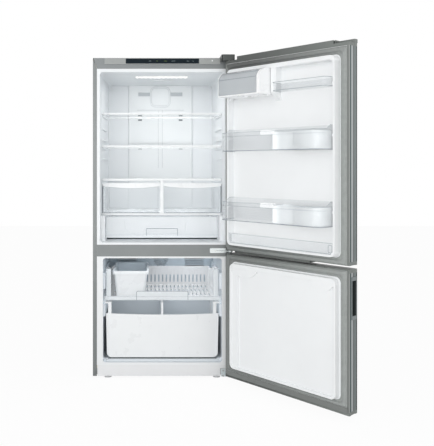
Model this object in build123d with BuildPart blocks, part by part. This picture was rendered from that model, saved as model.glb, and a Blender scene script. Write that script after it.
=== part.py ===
from build123d import *
import math
import os

# Bottom freezer refrigerator with both doors open. Millimetres, +Z up. X = 0 is the middle of the
# case, Y = 0 is the plane of its front flange, +Y runs into the case, and Z = 0 is the floor.

# ---- sheet, walls and clearances ---------------------------------------------------------------
SHEET = 0.8  # painted steel sheet
LINER = 2.0  # thermoformed liner wall
FIT = 0.3  # gap between pieces that meet at curved or fitted faces
RUN = 0.05  # radial gap of a pin or shaft that turns in its bore

# ---- case ---------------------------------------------------------------------------------------
CASE_W = 762.0
CASE_D = 720.0
CASE_TOP = 1756.0
CASE_LOW = 14.0  # lower edge of the side panels
CASE_CORNER = 5.0
STILE = 22.0  # front face of each side panel
TOP_BAND = 59.0  # steel band over the upper opening
MULLION_LOW = 669.0
MULLION_HIGH = 733.0

# ---- fresh food compartment ----------------------------------------------------------------------
FRESH_HALF = 343.0  # half width at the opening
FRESH_BACK_HALF = 331.0  # half width at the back wall
FRESH_LOW = 744.0
FRESH_HIGH = CASE_TOP - TOP_BAND - 18.0
FRESH_CORNER = 16.0
LINER_DEPTH = 614.0
DELI_HALF = 320.0  # the foot of the compartment is narrower
DELI_HIGH = 886.0
SHELF_FRONT = 128.0
SHELF_BACK = 430.0
SHELF_GAP = 2.5  # shelf to side wall
SHELF_FRAME = 10.0
SHELF_GLASS = 4.0
SHELF_BAR = 11.3  # height of the bar along the front of a shelf
SHELF_BAR_D = 14.0
TOP_SHELF = 1455.2  # underside of each shelf
LOW_SHELF = 1270.4
RIB_H = 9.0
RIB_W = 9.0
RIB_FRONT = 140.0
SPARE_RIBS = (1210.0, 1318.0, 1381.0)
COVER_Z = 1080.0  # underside of the crisper cover
COVER_BAR = 12.8
DECK_H = 11.3  # shelf under the crispers
DECK_PLATE = 5.0

# ---- freezer compartment -------------------------------------------------------------------------
FREEZER_HALF = 326.0
FREEZER_LOW = 103.0
FREEZER_HIGH = 659.0
FREEZER_CORNER = 15.0
LIP_Z = 88.0  # the freezer floor drops to this at the opening
HUMP_Y = LINER_DEPTH - 214.0  # front of the step over the machine space
HUMP_WALL = 36.0
HUMP_Z = 340.0
FLANGE_LOW = 74.0
FREEZER_FRONT = 34.0
BACK_COVER_Y = LINER_DEPTH - 109.0
BASKET_Z = 422.0
DRAWER_RIM_Z = 403.3
RAIL_PROUD = 11.0
RAILS = (  # each rail's lower and upper edge, and where it ends
    (335.0, DRAWER_RIM_Z - FIT, HUMP_Y - 12.0),
    (411.5, BASKET_Z - FIT, BACK_COVER_Y - 15.0),
    (486.0, 572.0, BACK_COVER_Y - 15.0),
)

# ---- doors ---------------------------------------------------------------------------------------
DOOR_W = 750.0
DOOR_T = 69.0
DOOR_OPEN = 131.0  # degrees from shut
DOOR_OFF = 10.0  # door face to case front when shut
HINGE_IN = 14.0  # hinge axis in from the side of the case
HINGE_OUT = 38.0  # hinge axis in front of the case
UPPER_LOW = 711.0
UPPER_HIGH = CASE_TOP - 26.0
LOWER_LOW = 30.0
LOWER_HIGH = 693.0
CAP_H = 16.0  # plastic end cap of a door
CAP_RIDGE = 17.0  # the upper door's cap rises by this between the hinge and the free end
HEM = 12.0
EDGE_GROOVE = 2.5
EDGE_GROOVE_AT = (18.0, 50.0)  # groove in the free edge, measured from the inner face
GASKET_IN = 10.0  # gasket from the door's edge
GASKET_BASE_W = 35.0
GASKET_BASE = 3.0
GASKET_BULB = 18.0
GASKET_H = 9.7
DIKE_IN = 48.0  # raised rim of the door liner from the door's edge
DIKE_W = 10.0
DIKE_R = 26.0
UPPER_RIM = (DIKE_IN, 748.0, UPPER_HIGH - 58.0)  # inset from the sides, lower and upper edge
UPPER_RISE = 45.0
UPPER_RIM_TOP = 20.0
LOWER_RIM = (DIKE_IN + 6.0, 94.0, LOWER_HIGH - 45.0)
LOWER_RISE = 30.0
LOWER_RIM_TOP = 22.0

# ---- hinge hardware ------------------------------------------------------------------------------
PIN_R = 5.0
PIN_GRIP = 13.0  # length of pin inside a cap
PLATE = 3.0
WASHER_R = 9.0
ARM_R = 14.0

# ---- derived -------------------------------------------------------------------------------------
CASE_HALF = CASE_W / 2
INNER_HALF = CASE_HALF - SHEET
BAND_LOW = CASE_TOP - TOP_BAND
FLANGE_HALF = CASE_HALF - STILE - FIT
HINGE_X = CASE_HALF - HINGE_IN
HINGE_Y = -HINGE_OUT
TURN = math.radians(DOOR_OPEN)
DOOR_DIR = Vector(-math.cos(TURN), -math.sin(TURN), 0)  # from the hinge edge to the free edge
DOOR_OUT = Vector(math.sin(TURN), -math.cos(TURN), 0)  # from the inner face to the outer face
FOAM_GAP = LINER + FIT
MOUTH = UPPER_RISE - DOOR_OFF + 25.0  # the upper opening is plain to here, for the shut door's rim
LIP_D = LOWER_RISE - DOOR_OFF + 4.0  # the freezer's opening is plain to here, for the same reason
RAIL_FRONT = LIP_D + 2.0
PIVOT_S = DOOR_W / 2 - HINGE_X
PIVOT_OUT = HINGE_OUT - DOOR_OFF
DOOR_CORNER = Vector(HINGE_X, HINGE_Y, 0) - DOOR_DIR * PIVOT_S - DOOR_OUT * PIVOT_OUT


def level(z):
    """A plan view at height z, seen from above."""
    return Plane.XY.offset(z)


def front(y):
    """A front view at depth y: extruding by a negative amount runs into the case."""
    return Plane.XZ.offset(-y)


def side(x):
    """A side view at x, with Y across and Z up."""
    return Plane.YZ.offset(x)


def door_plan(z):
    """A plan of an open door: X runs from the hinge edge, Y towards the outer face."""
    return Plane(origin=DOOR_CORNER + Vector(0, 0, z), x_dir=DOOR_DIR, z_dir=(0, 0, 1))


def door_face(p):
    """The inner face of an open door, stood off by p: X from the hinge edge, Y is height."""
    return Plane(origin=DOOR_CORNER - DOOR_OUT * p, x_dir=DOOR_DIR, z_dir=DOOR_OUT * -1)


def door_end(s):
    """A section of an open door at s from its hinge edge: X towards the outer face, Y up."""
    return Plane(origin=DOOR_CORNER + DOOR_DIR * s, x_dir=DOOR_OUT, z_dir=DOOR_DIR)


def block(x0, x1, y0, y1, z0, z1, mode=Mode.ADD):
    """A box between two corners."""
    with Locations(((x0 + x1) / 2, (y0 + y1) / 2, (z0 + z1) / 2)):
        Box(x1 - x0, y1 - y0, z1 - z0, mode=mode)


def slab(plane, x0, x1, y0, y1, depth, mode=Mode.ADD, radius=0.0):
    """A rectangle between two corners of a plane, with rounded corners, given a depth."""
    with BuildSketch(plane) as outline:
        with Locations(((x0 + x1) / 2, (y0 + y1) / 2)):
            if radius:
                RectangleRounded(x1 - x0, y1 - y0, radius)
            else:
                Rectangle(x1 - x0, y1 - y0)
    extrude(outline.sketch, amount=depth, mode=mode)


def frame_slab(plane, outer, inner, depth, outer_r=0.0, inner_r=0.0, mode=Mode.ADD):
    """A rectangular ring between two boxes (x0, x1, y0, y1) of a plane, given a depth."""
    with BuildSketch(plane) as ring:
        for (x0, x1, y0, y1), radius, cut in (
            (outer, outer_r, Mode.ADD),
            (inner, inner_r, Mode.SUBTRACT),
        ):
            with Locations(((x0 + x1) / 2, (y0 + y1) / 2)):
                if radius:
                    RectangleRounded(x1 - x0, y1 - y0, radius, mode=cut)
                else:
                    Rectangle(x1 - x0, y1 - y0, mode=cut)
    extrude(ring.sketch, amount=depth, mode=mode)


def prism(plane, points, depth, mode=Mode.ADD, radius=0.0):
    """A polygon given a depth, with all of its corners rounded where a radius is given."""
    with BuildSketch(plane) as outline:
        with BuildLine():
            Polyline(*points, close=True)
        make_face()
        if radius:
            fillet(outline.vertices(), radius)
    extrude(outline.sketch, amount=depth, mode=mode)


def disc(plane, x, y, radius, depth, mode=Mode.ADD):
    """A round bar standing on a plane."""
    with BuildSketch(plane) as outline:
        with Locations((x, y)):
            Circle(radius)
    extrude(outline.sketch, amount=depth, mode=mode)


def tray(plane, box, height, wall, floor, radius=0.0, near_only=False, mode=Mode.ADD):
    """An open box over (x0, x1, y0, y1) of a plane; near_only rounds just the low-Y corners."""
    x0, x1, y0, y1 = box
    for inset, start, cut in ((0.0, 0.0, mode), (wall, floor, Mode.SUBTRACT)):
        with BuildSketch(plane.offset(start)) as outline:
            with Locations(((x0 + x1) / 2, (y0 + y1) / 2)):
                Rectangle(x1 - x0 - 2 * inset, y1 - y0 - 2 * inset)
            if radius:
                corners = outline.vertices()
                if near_only:
                    corners = corners.group_by(Axis.Y)[0]
                fillet(corners, radius - inset)
        extrude(outline.sketch, amount=height - start, mode=cut)


def save(part, name):
    """Label a finished piece and write it to its file."""
    part.label = name
    export_step(part, f"parts/{name}.step")


def fresh_half(y):
    """Half width of the fresh food compartment at depth y."""
    return FRESH_HALF - (FRESH_HALF - FRESH_BACK_HALF) * y / LINER_DEPTH


def tapered_space(low, high, corners, end, grow, mode):
    """A space between the sloping side walls, its lowest (0) or highest (-1) corners rounded."""
    sections = []
    for y in (0.0, end + grow):
        half = fresh_half(min(y, LINER_DEPTH)) + grow
        with BuildSketch(front(y)) as section:
            with Locations((0, (low + high) / 2)):
                Rectangle(2 * half, high - low + 2 * grow)
            fillet(section.vertices().group_by(Axis.Y)[corners], FRESH_CORNER + grow)
        sections.append(section.sketch)
    loft(sections, mode=mode)


def fresh_cavity(grow=0.0, mode=Mode.ADD):
    """The space of the fresh food compartment, with its narrower foot, grown by a wall."""
    tapered_space(DELI_HIGH, FRESH_HIGH, -1, LINER_DEPTH, grow, mode)
    tapered_space(FRESH_LOW, DELI_HIGH, 0, MOUTH, grow, mode)
    with BuildSketch(front(0)) as foot:
        with Locations((0, (FRESH_LOW + DELI_HIGH) / 2)):
            Rectangle(2 * (DELI_HALF + grow), DELI_HIGH - FRESH_LOW + 2 * grow)
        fillet(foot.vertices().group_by(Axis.Y)[0], FRESH_CORNER + grow)
    extrude(foot.sketch, amount=-(LINER_DEPTH + grow), mode=mode)


def freezer_cavity(grow=0.0, mode=Mode.ADD):
    """The space of the freezer compartment, with its step and its lip, grown by a wall."""
    half = FREEZER_HALF + grow
    radius = FREEZER_CORNER + grow
    with BuildSketch(front(0)) as upper:
        with Locations((0, (FREEZER_HIGH + HUMP_Z) / 2)):
            Rectangle(2 * half, FREEZER_HIGH - HUMP_Z + 2 * grow)
        fillet(upper.vertices().group_by(Axis.Y)[-1], radius)
    extrude(upper.sketch, amount=-(LINER_DEPTH + grow), mode=mode)
    for low, end in ((FREEZER_LOW, HUMP_Y), (LIP_Z, LIP_D)):
        with BuildSketch(front(0)) as lower:
            with Locations((0, (low + HUMP_Z) / 2)):
                Rectangle(2 * half, HUMP_Z - low + 2 * grow)
            fillet(lower.vertices().group_by(Axis.Y)[0], radius)
        extrude(lower.sketch, amount=-(end + grow), mode=mode)
    slope_end = LIP_D + FREEZER_CORNER + grow
    lip = ((LIP_D, LIP_Z - grow), (slope_end, FREEZER_LOW - grow), (LIP_D, FREEZER_LOW + radius))
    prism(side(-half + radius), lip, 2 * (half - radius), mode)


# ---- case ----------------------------------------------------------------------------------------
def case_profile(inset, mode):
    """The wrapped side and top panels' section, given the case's depth."""
    with BuildSketch(front(0)) as wrap:
        with Locations((0, (CASE_TOP + CASE_LOW - inset) / 2)):
            Rectangle(CASE_W - 2 * inset, CASE_TOP - CASE_LOW - inset)
        fillet(wrap.vertices().group_by(Axis.Y)[-1], CASE_CORNER - inset)
    extrude(wrap.sketch, amount=-CASE_D, mode=mode)


with BuildPart() as case_shell:
    case_profile(0, Mode.ADD)
    case_profile(SHEET, Mode.SUBTRACT)
    for hand in (-1, 1):
        stile = (
            (hand * INNER_HALF, CASE_LOW),
            (hand * INNER_HALF, CASE_TOP - SHEET - CASE_CORNER),
            (hand * (CASE_HALF - STILE), BAND_LOW - FIT),
            (hand * (CASE_HALF - STILE), CASE_LOW),
        )
        prism(front(0), stile, -SHEET)

PLUG = (-284.5, 701.0)  # blanking plug in the mullion cover
PLUG_W = 54.0
PLUG_H = 18.0
PLUG_RIM = 3.0
PLUG_OUT = 1.2
with BuildPart() as mullion_cover:
    block(-FLANGE_HALF, FLANGE_HALF, 0, SHEET, MULLION_LOW, MULLION_HIGH)
    for rim, start, depth, cut in ((0, 0, PLUG_OUT, Mode.ADD),
                                   (PLUG_RIM, -PLUG_OUT, -PLUG_OUT / 2, Mode.SUBTRACT)):
        with BuildSketch(front(start)):
            with Locations(PLUG):
                SlotOverall(PLUG_W - 2 * rim, PLUG_H - 2 * rim)
        extrude(amount=depth, mode=cut)

BACK_T = 0.8
BACK_PRESS = 1.6  # depth of the panels pressed into the back
MACHINE_TOP = 300.0
with BuildPart() as back_panel:
    block(-INNER_HALF, INNER_HALF, CASE_D - BACK_T, CASE_D, MACHINE_TOP, CASE_TOP - CASE_CORNER)
    for x in (-190.0, 190.0):
        press = (x - 120, x + 120, MACHINE_TOP + 80, CASE_TOP - 180)
        slab(front(CASE_D), *press, BACK_T + BACK_PRESS, radius=18)
        press = (x - 119, x + 119, MACHINE_TOP + 81, CASE_TOP - 181)
        slab(front(CASE_D), *press, BACK_PRESS, Mode.SUBTRACT, 17)

# ---- base ----------------------------------------------------------------------------------------
PAN_Z = 54.0
PAN_T = 2.0
PAN_FRONT = 8.0
PAN_FLANGE = 20.0
DECK_Z = 40.0  # floor of the machine space
DECK_Y = HUMP_Y + FOAM_GAP + HUMP_WALL + 1.7
ROLLER_R = 18.0
ROLLER_W = 24.0
ROLLER_X = 334.0
ROLLER_Y = CASE_D - 30.0
AXLE_R = 4.0
EAR = 2.0
EAR_OUT = 15.0
EAR_W = 16.0
LEG_X = 300.0
LEG_Y = 34.0
LEG_R = 6.0
LEG_NUT_R = 12.0
FOOT_R = 19.0
FOOT_H = 8.0
DECK_END = CASE_D - 2 * BACK_T
with BuildPart() as base_pan:
    pan_y = (PAN_FRONT + PAN_T + FIT, DECK_Y - PAN_T - FIT)
    block(-INNER_HALF, INNER_HALF, PAN_FRONT, PAN_FRONT + PAN_T, PAN_FLANGE, PAN_Z + PAN_T)
    block(-INNER_HALF, INNER_HALF, *pan_y, PAN_Z, PAN_Z + PAN_T)
    block(-INNER_HALF, INNER_HALF, DECK_Y - PAN_T, DECK_Y, DECK_Z, PAN_Z + PAN_T)
    block(-INNER_HALF, INNER_HALF, DECK_Y + FIT, DECK_END, DECK_Z, DECK_Z + PAN_T)
    for hand in (-1, 1):
        rail = sorted((hand * INNER_HALF, hand * (INNER_HALF - PAN_T)))
        block(*rail, *pan_y, PAN_FLANGE, PAN_Z - FIT)
        block(*rail, DECK_Y + FIT, DECK_END, PAN_FLANGE, DECK_Z - FIT)
        block(*rail, DECK_Y + FIT, DECK_END, DECK_Z + PAN_T + FIT, MACHINE_TOP - FIT)
        disc(level(PAN_Z - LEG_NUT_R), hand * LEG_X, LEG_Y, LEG_NUT_R, LEG_NUT_R - FIT)
        disc(level(PAN_FLANGE), hand * LEG_X, LEG_Y, LEG_R + RUN, PAN_Z, Mode.SUBTRACT)
        for x in (ROLLER_X - EAR_OUT, ROLLER_X + EAR_OUT):
            ear = (
                (ROLLER_Y - EAR_W, DECK_Z - FIT),
                (ROLLER_Y + EAR_W, DECK_Z - FIT),
                (ROLLER_Y + EAR_W / 2, ROLLER_R - EAR_W / 2),
                (ROLLER_Y - EAR_W / 2, ROLLER_R - EAR_W / 2),
            )
            prism(side(hand * x - EAR / 2), ear, EAR)
        hole = side(hand * ROLLER_X - EAR_OUT - EAR)
        disc(hole, ROLLER_Y, ROLLER_R, AXLE_R + RUN, 2 * (EAR_OUT + EAR), Mode.SUBTRACT)

with BuildPart() as rear_rollers:
    end = ROLLER_X + EAR_OUT + 2 * EAR
    disc(side(-end), ROLLER_Y, ROLLER_R, AXLE_R, 2 * end)
    for hand in (-1, 1):
        disc(side(hand * ROLLER_X - ROLLER_W / 2), ROLLER_Y, ROLLER_R, ROLLER_R, ROLLER_W)

with BuildPart() as levelling_legs:
    for hand in (-1, 1):
        disc(level(0), hand * LEG_X, LEG_Y, FOOT_R, FOOT_H)
        disc(level(FOOT_H), hand * LEG_X, LEG_Y, LEG_R, PAN_Z + PAN_T / 2 - FOOT_H)

KICK_Y = 1.0
KICK_T = 3.0
KICK_HALF = 357.0
NOTCH_X = 318.0
NOTCH_Z = 56.0
with BuildPart() as kick_plate:
    block(-KICK_HALF, KICK_HALF, KICK_Y, KICK_Y + KICK_T, CASE_LOW, FLANGE_LOW - FIT)
    block(NOTCH_X, KICK_HALF, KICK_Y, KICK_Y + KICK_T, CASE_LOW, NOTCH_Z, Mode.SUBTRACT)
    for x in (-250.0, 0.0, 250.0):
        block(x - 12, x + 12, KICK_Y + KICK_T, PAN_FRONT, 30, 48)

# ---- insulation ----------------------------------------------------------------------------------
CONTROL_BACK = 28.0
CONTROL_LOW = CASE_TOP - 36.0
LOW_FRONT = KICK_Y + KICK_T + FIT
with BuildPart() as cabinet_foam:
    outer = INNER_HALF - FIT
    back = LINER_DEPTH + FOAM_GAP
    wall = FREEZER_HALF + FOAM_GAP
    hump = HUMP_Y + FOAM_GAP
    step = hump + HUMP_WALL
    pan = PAN_Z + PAN_T + FIT
    fresh_foot = DELI_HIGH - FOAM_GAP
    sill = FRESH_LOW - FOAM_GAP
    shoulder = FRESH_HIGH + FOAM_GAP
    roof = CASE_TOP - CASE_CORNER
    for hand in (-1, 1):
        upper = (
            (hand * outer, FOAM_GAP),
            (hand * outer, back - FIT),
            (hand * (FRESH_BACK_HALF + FOAM_GAP), back - FIT),
            (hand * (fresh_half(FOAM_GAP) + FOAM_GAP), FOAM_GAP),
        )
        prism(level(fresh_foot), upper, shoulder - FIT - fresh_foot)
        foot_x = sorted((hand * outer, hand * (DELI_HALF + FOAM_GAP)))
        block(*foot_x, MOUTH + FOAM_GAP, back - FIT, sill + FIT, fresh_foot - FIT)
        mouth_x = sorted((hand * outer, hand * (FRESH_HALF + FOAM_GAP)))
        block(*mouth_x, FOAM_GAP, MOUTH + FOAM_GAP - FIT, sill + FIT, fresh_foot - FIT)
        wall_x = sorted((hand * outer, hand * wall))
        block(*wall_x, LOW_FRONT, step, pan, sill)
        block(*wall_x, step + FIT, back - FIT, MACHINE_TOP + FIT, sill)
    block(-outer, outer, CONTROL_BACK, back - FIT, shoulder, roof)
    block(-outer, outer, FOAM_GAP, CONTROL_BACK - FIT, shoulder, CONTROL_LOW)
    inner = wall - FIT
    block(-inner, inner, FOAM_GAP, back - FIT, FREEZER_HIGH + FOAM_GAP, sill)
    block(-inner, inner, LIP_D + FREEZER_CORNER + FOAM_GAP, step, pan, FREEZER_LOW - FOAM_GAP)
    block(-inner, inner, hump, step, FREEZER_LOW - FOAM_GAP + FIT, MACHINE_TOP)
    block(-inner, inner, hump, back - FIT, MACHINE_TOP + FIT, HUMP_Z - FOAM_GAP)
    block(-outer, outer, back, CASE_D - BACK_T - BACK_PRESS - FIT, MACHINE_TOP + FIT, roof)

with BuildPart() as fresh_food_liner:
    fresh_cavity(LINER)
    low, high = MULLION_HIGH + FIT, BAND_LOW - FIT
    slab(front(0), -FLANGE_HALF, FLANGE_HALF, low, high, -LINER)
    fresh_cavity(0, Mode.SUBTRACT)
    for hand in (-1, 1):
        for z in (TOP_SHELF, LOW_SHELF, COVER_Z) + SPARE_RIBS:
            end = LINER_DEPTH - 20 if z == COVER_Z else SHELF_BACK - 10
            rib = (
                (hand * (fresh_half(RIB_FRONT) + LINER / 2), RIB_FRONT),
                (hand * (fresh_half(RIB_FRONT) - RIB_W / 3), RIB_FRONT),
                (hand * (fresh_half(RIB_FRONT) - RIB_W), RIB_FRONT + 3 * RIB_W),
                (hand * (fresh_half(end) - RIB_W), end),
                (hand * (fresh_half(end) + LINER / 2), end),
            )
            prism(level(z - RIB_H), rib, RIB_H)
        runner = sorted((hand * 280.0, hand * 300.0))
        block(*runner, SHELF_FRONT + 6, LINER_DEPTH - 40, FRESH_LOW, FRESH_LOW + 12.2)
    with BuildSketch(level(FRESH_HIGH)):
        with Locations((0, 320)):
            Ellipse(57, 150)
            with Locations((0, -75)):
                Rectangle(120, 150, mode=Mode.SUBTRACT)
    extrude(amount=-5)

with BuildPart() as freezer_liner:
    freezer_cavity(LINER)
    slab(front(0), -FLANGE_HALF, FLANGE_HALF, FLANGE_LOW, MULLION_LOW - FIT, -LINER)
    freezer_cavity(0, Mode.SUBTRACT)
    for hand in (-1, 1):
        for low, high, end in RAILS:
            rail = sorted((hand * (FREEZER_HALF - RAIL_PROUD), hand * FREEZER_HALF))
            block(*rail, RAIL_FRONT, end, low, high)

# ---- controls, lamp and air duct -----------------------------------------------------------------
HOUSING_HALF = 317.0
HOUSING_LOW = CASE_TOP - 34.0
HOUSING_HIGH = CASE_TOP - 2.0
HOUSING_OUT = 4.0
GLASS_HALF = 200.7
GLASS_LOW = HOUSING_LOW + 3.0
GLASS_HIGH = HOUSING_HIGH - 2.0
GLASS_T = 2.0
SWITCH_X = 273.0
SWITCH_Z = CASE_TOP - 16.0
SWITCH_R = 4.0
SWITCH_OUT = 3.0
with BuildPart() as control_housing:
    block(-HOUSING_HALF, HOUSING_HALF, -HOUSING_OUT, 0, HOUSING_LOW, HOUSING_HIGH)
    glass = (-GLASS_HALF - FIT, GLASS_HALF + FIT, GLASS_LOW - FIT, GLASS_HIGH + FIT)
    slab(front(-HOUSING_OUT), *glass, -GLASS_T, Mode.SUBTRACT)
    slab(front(-HOUSING_OUT), SWITCH_X - 26, SWITCH_X + 26, SWITCH_Z - 9, SWITCH_Z + 9, -1.2,
         Mode.SUBTRACT, 3)
    disc(front(-HOUSING_OUT), SWITCH_X, SWITCH_Z, SWITCH_R + RUN, -HOUSING_OUT, Mode.SUBTRACT)

with BuildPart() as control_panel:
    slab(front(-HOUSING_OUT), -GLASS_HALF, GLASS_HALF, GLASS_LOW, GLASS_HIGH, -GLASS_T)

SWITCH_BACK = 12.0
BAND_EDGE = FLANGE_HALF
BAND_TOP = CASE_TOP - SHEET
BAND_CORNER = INNER_HALF - CASE_CORNER
with BuildPart() as top_frame:
    band = (
        (-BAND_EDGE, BAND_LOW),
        (-BAND_CORNER - 2, BAND_TOP - CASE_CORNER),
        (-BAND_CORNER + 1, BAND_TOP),
        (BAND_CORNER - 1, BAND_TOP),
        (BAND_CORNER + 2, BAND_TOP - CASE_CORNER),
        (BAND_EDGE, BAND_LOW),
    )
    prism(front(0), band, -SHEET)
    disc(front(0), SWITCH_X, SWITCH_Z, SWITCH_R + RUN, -SHEET, Mode.SUBTRACT)

with BuildPart() as door_switch:
    face = front(-HOUSING_OUT - SWITCH_OUT)
    disc(face, SWITCH_X, SWITCH_Z, SWITCH_R, -(HOUSING_OUT + SWITCH_OUT + SWITCH_BACK))
    fillet(door_switch.edges().sort_by(Axis.Y)[0], 1.2)
    disc(front(SHEET + FIT), SWITCH_X, SWITCH_Z, SWITCH_R + 2, -2)

BOARD_T = 1.6
BOARD_HALF = 160.0
BOARD_Y = 14.0  # front face of the board
BOARD_POSTS = (-140.0, 140.0)
POST_HALF = 4.0
CHIPS = (  # parts on the board: left and right edge, how far they stand back, room above
    (-90.0, -40.0, 22.0, 10.0),
    (30.0, 110.0, 24.0, 12.0),
)
SWITCH_BOX = (14.0, 9.0, 26.0)  # half width, half height and back face of the switch's box
with BuildPart() as control_board:
    board_back = BOARD_Y + BOARD_T
    block(-BOARD_HALF, BOARD_HALF, BOARD_Y, board_back, CONTROL_LOW + 4, CASE_TOP - 6)
    for x0, x1, y1, above in CHIPS:
        block(x0, x1, board_back, y1, CONTROL_LOW + 8, CASE_TOP - above)
    tail = (SWITCH_Z - POST_HALF, SWITCH_Z + POST_HALF)
    for x in BOARD_POSTS:
        block(x - POST_HALF, x + POST_HALF, SHEET, BOARD_Y, *tail)
    half_w, half_h, y1 = SWITCH_BOX
    block(SWITCH_X - half_w, SWITCH_X + half_w, SHEET, y1, SWITCH_Z - half_h, SWITCH_Z + half_h)
    block(BOARD_HALF, SWITCH_X - half_w, BOARD_Y, board_back, *tail)
    disc(front(0), SWITCH_X, SWITCH_Z, SWITCH_R + 2 + FIT, -(SWITCH_BACK + 8), Mode.SUBTRACT)

LAMP_HALF = 150.0
LAMP_Y = 192.0
LAMP_COUNT = 12
LAMP_HALF_D = 14.0
LAMP_H = 5.0
LENS_R = 7.0
with BuildPart() as led_lamp:
    cover = (-LAMP_HALF, LAMP_HALF, LAMP_Y - LAMP_HALF_D, LAMP_Y + LAMP_HALF_D)
    slab(level(FRESH_HIGH), *cover, -LAMP_H, radius=6)
    with BuildSketch(level(FRESH_HIGH - LAMP_H)):
        with Locations((0, LAMP_Y)):
            with GridLocations(2 * LAMP_HALF / LAMP_COUNT, 1, LAMP_COUNT, 1):
                Circle(LENS_R)
    extrude(amount=-2)

DUCT_HALF = 204.0
DUCT_T = 12.0
DUCT_LOW = 790.0
BADGE_HALF = 64.5
BADGE_LOW = 1540.0
BADGE_HIGH = 1672.0
BADGE_R = 35.0
LINE_Z = 1522.0
CHANNEL_HALF = 13.0
CHANNEL_LOW = 1146.0
LINE_HALF = 150.0
TOP_VENT = (66.0, 141.0, 1611.0, 1635.0, 6.0)  # inner and outer edge, lower and upper edge, depth
SIDE_VENT = (118.0, 142.0, 9.0)  # inner and outer edge, depth
SIDE_VENTS_Z = ((1482.0, 1492.0), (1453.0, 1463.0), (1271.0, 1282.0))
BADGE_BORDER = 8.0
with BuildPart() as air_duct_cover:
    duct_front = LINER_DEPTH - DUCT_T
    slab(front(duct_front), -DUCT_HALF, DUCT_HALF, DUCT_LOW, FRESH_HIGH - FIT, -DUCT_T)
    fillet(air_duct_cover.edges().filter_by(Axis.Z).group_by(Axis.Y)[0], 5)
    channel = (-CHANNEL_HALF, CHANNEL_HALF, CHANNEL_LOW, LINE_Z)
    slab(front(duct_front), *channel, -3, Mode.SUBTRACT, 6)
    line = (duct_front, duct_front + 1.5, LINE_Z - 1, LINE_Z + 1)
    block(-LINE_HALF, LINE_HALF, *line, Mode.SUBTRACT)
    for hand in (-1, 1):
        vent = sorted((hand * TOP_VENT[0], hand * TOP_VENT[1]))
        block(*vent, duct_front, duct_front + TOP_VENT[4], *TOP_VENT[2:4], Mode.SUBTRACT)
        vent = sorted((hand * SIDE_VENT[0], hand * SIDE_VENT[1]))
        for low, high in SIDE_VENTS_Z:
            block(*vent, duct_front, duct_front + SIDE_VENT[2], low, high, Mode.SUBTRACT)
    slab(front(duct_front), -BADGE_HALF, BADGE_HALF, BADGE_LOW, BADGE_HIGH, 3, radius=BADGE_R)
    side_x = BADGE_HALF - BADGE_BORDER
    ring = (-side_x, side_x, BADGE_LOW + BADGE_BORDER, BADGE_HIGH - BADGE_BORDER)
    inner = (ring[0] + 2, ring[1] - 2, ring[2] + 2, ring[3] - 2)
    ring_r = BADGE_R - BADGE_BORDER
    frame_slab(front(duct_front - 3), ring, inner, -1, ring_r, ring_r - 2, Mode.SUBTRACT)


# ---- shelves -------------------------------------------------------------------------------------
def shelf_outline(gap, y0, y1):
    """Corners of a shelf that follows the side walls, inside them by a gap."""
    near, far = fresh_half(y0) - gap, fresh_half(y1) - gap
    return ((-near, y0), (near, y0), (far, y1), (-far, y1))


def shelf_glass_plate(z, y_end, mode=Mode.ADD):
    """The glass of the shelf whose underside is at z."""
    inset = SHELF_GAP + SHELF_FRAME / 2
    y0, y1 = SHELF_FRONT + SHELF_FRAME / 2, y_end - SHELF_FRAME / 2
    prism(level(z + SHELF_GLASS), shelf_outline(inset, y0, y1), SHELF_GLASS, mode)


def shelf_rim(z, y_end, bar):
    """The plastic rim round a shelf's glass, with its taller front bar."""
    prism(level(z), shelf_outline(SHELF_GAP, SHELF_FRONT, y_end), 2 * SHELF_GLASS)
    y0, y1 = SHELF_FRONT + SHELF_FRAME, y_end - SHELF_FRAME
    hole = shelf_outline(SHELF_GAP + SHELF_FRAME, y0, y1)
    prism(level(z), hole, 2 * SHELF_GLASS, Mode.SUBTRACT)
    bar_end = SHELF_FRONT + SHELF_BAR_D
    prism(level(z), shelf_outline(SHELF_GAP, SHELF_FRONT, bar_end), bar)
    shelf_glass_plate(z, y_end, Mode.SUBTRACT)


COVER_END = LINER_DEPTH - DUCT_T - 2.0
with BuildPart() as shelf_glass:
    for z, end in ((TOP_SHELF, SHELF_BACK), (LOW_SHELF, SHELF_BACK), (COVER_Z, COVER_END)):
        shelf_glass_plate(z, end)

with BuildPart() as shelf_trims:
    for z in (TOP_SHELF, LOW_SHELF):
        shelf_rim(z, SHELF_BACK, SHELF_BAR)

POST = 9.0
with BuildPart() as crisper_cover_frame:
    shelf_rim(COVER_Z, COVER_END, COVER_BAR)
    block(-POST, POST, SHELF_FRONT, SHELF_FRONT + 12, DELI_HIGH + DECK_H, COVER_Z)
    block(-POST, POST, SHELF_FRONT, COVER_END - 20, COVER_Z - 14, COVER_Z)

with BuildPart() as deli_cover_shelf:
    top = DELI_HIGH + DECK_H
    end = COVER_END
    prism(level(top - DECK_PLATE), shelf_outline(SHELF_GAP, SHELF_FRONT, end), DECK_PLATE)
    bar = shelf_outline(SHELF_GAP, SHELF_FRONT, SHELF_FRONT + SHELF_BAR_D)
    prism(level(DELI_HIGH), bar, DECK_H)
    for hand in (-1, 1):
        rail = (
            (hand * (fresh_half(SHELF_FRONT) - SHELF_GAP), SHELF_FRONT),
            (hand * (fresh_half(end) - SHELF_GAP), end),
            (hand * (DELI_HALF + 2), end),
            (hand * (DELI_HALF + 2), SHELF_FRONT),
        )
        prism(level(DELI_HIGH), rail, DECK_H - DECK_PLATE)

# ---- crispers and deli drawer --------------------------------------------------------------------
BIN_WALL = 2.4
CRISPER_IN = 11.0  # from the middle of the case
CRISPER_OUT = 335.5
CRISPER_BODY = 327.0
CRISPER_TOP = 1067.7
CRISPER_END = COVER_END - 25.0
CRISPER_FACE = 5.0
BAND_END_Z = 1050.3
BAND_MID_Z = 1038.0
BAND_OUT = 6.0


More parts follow.
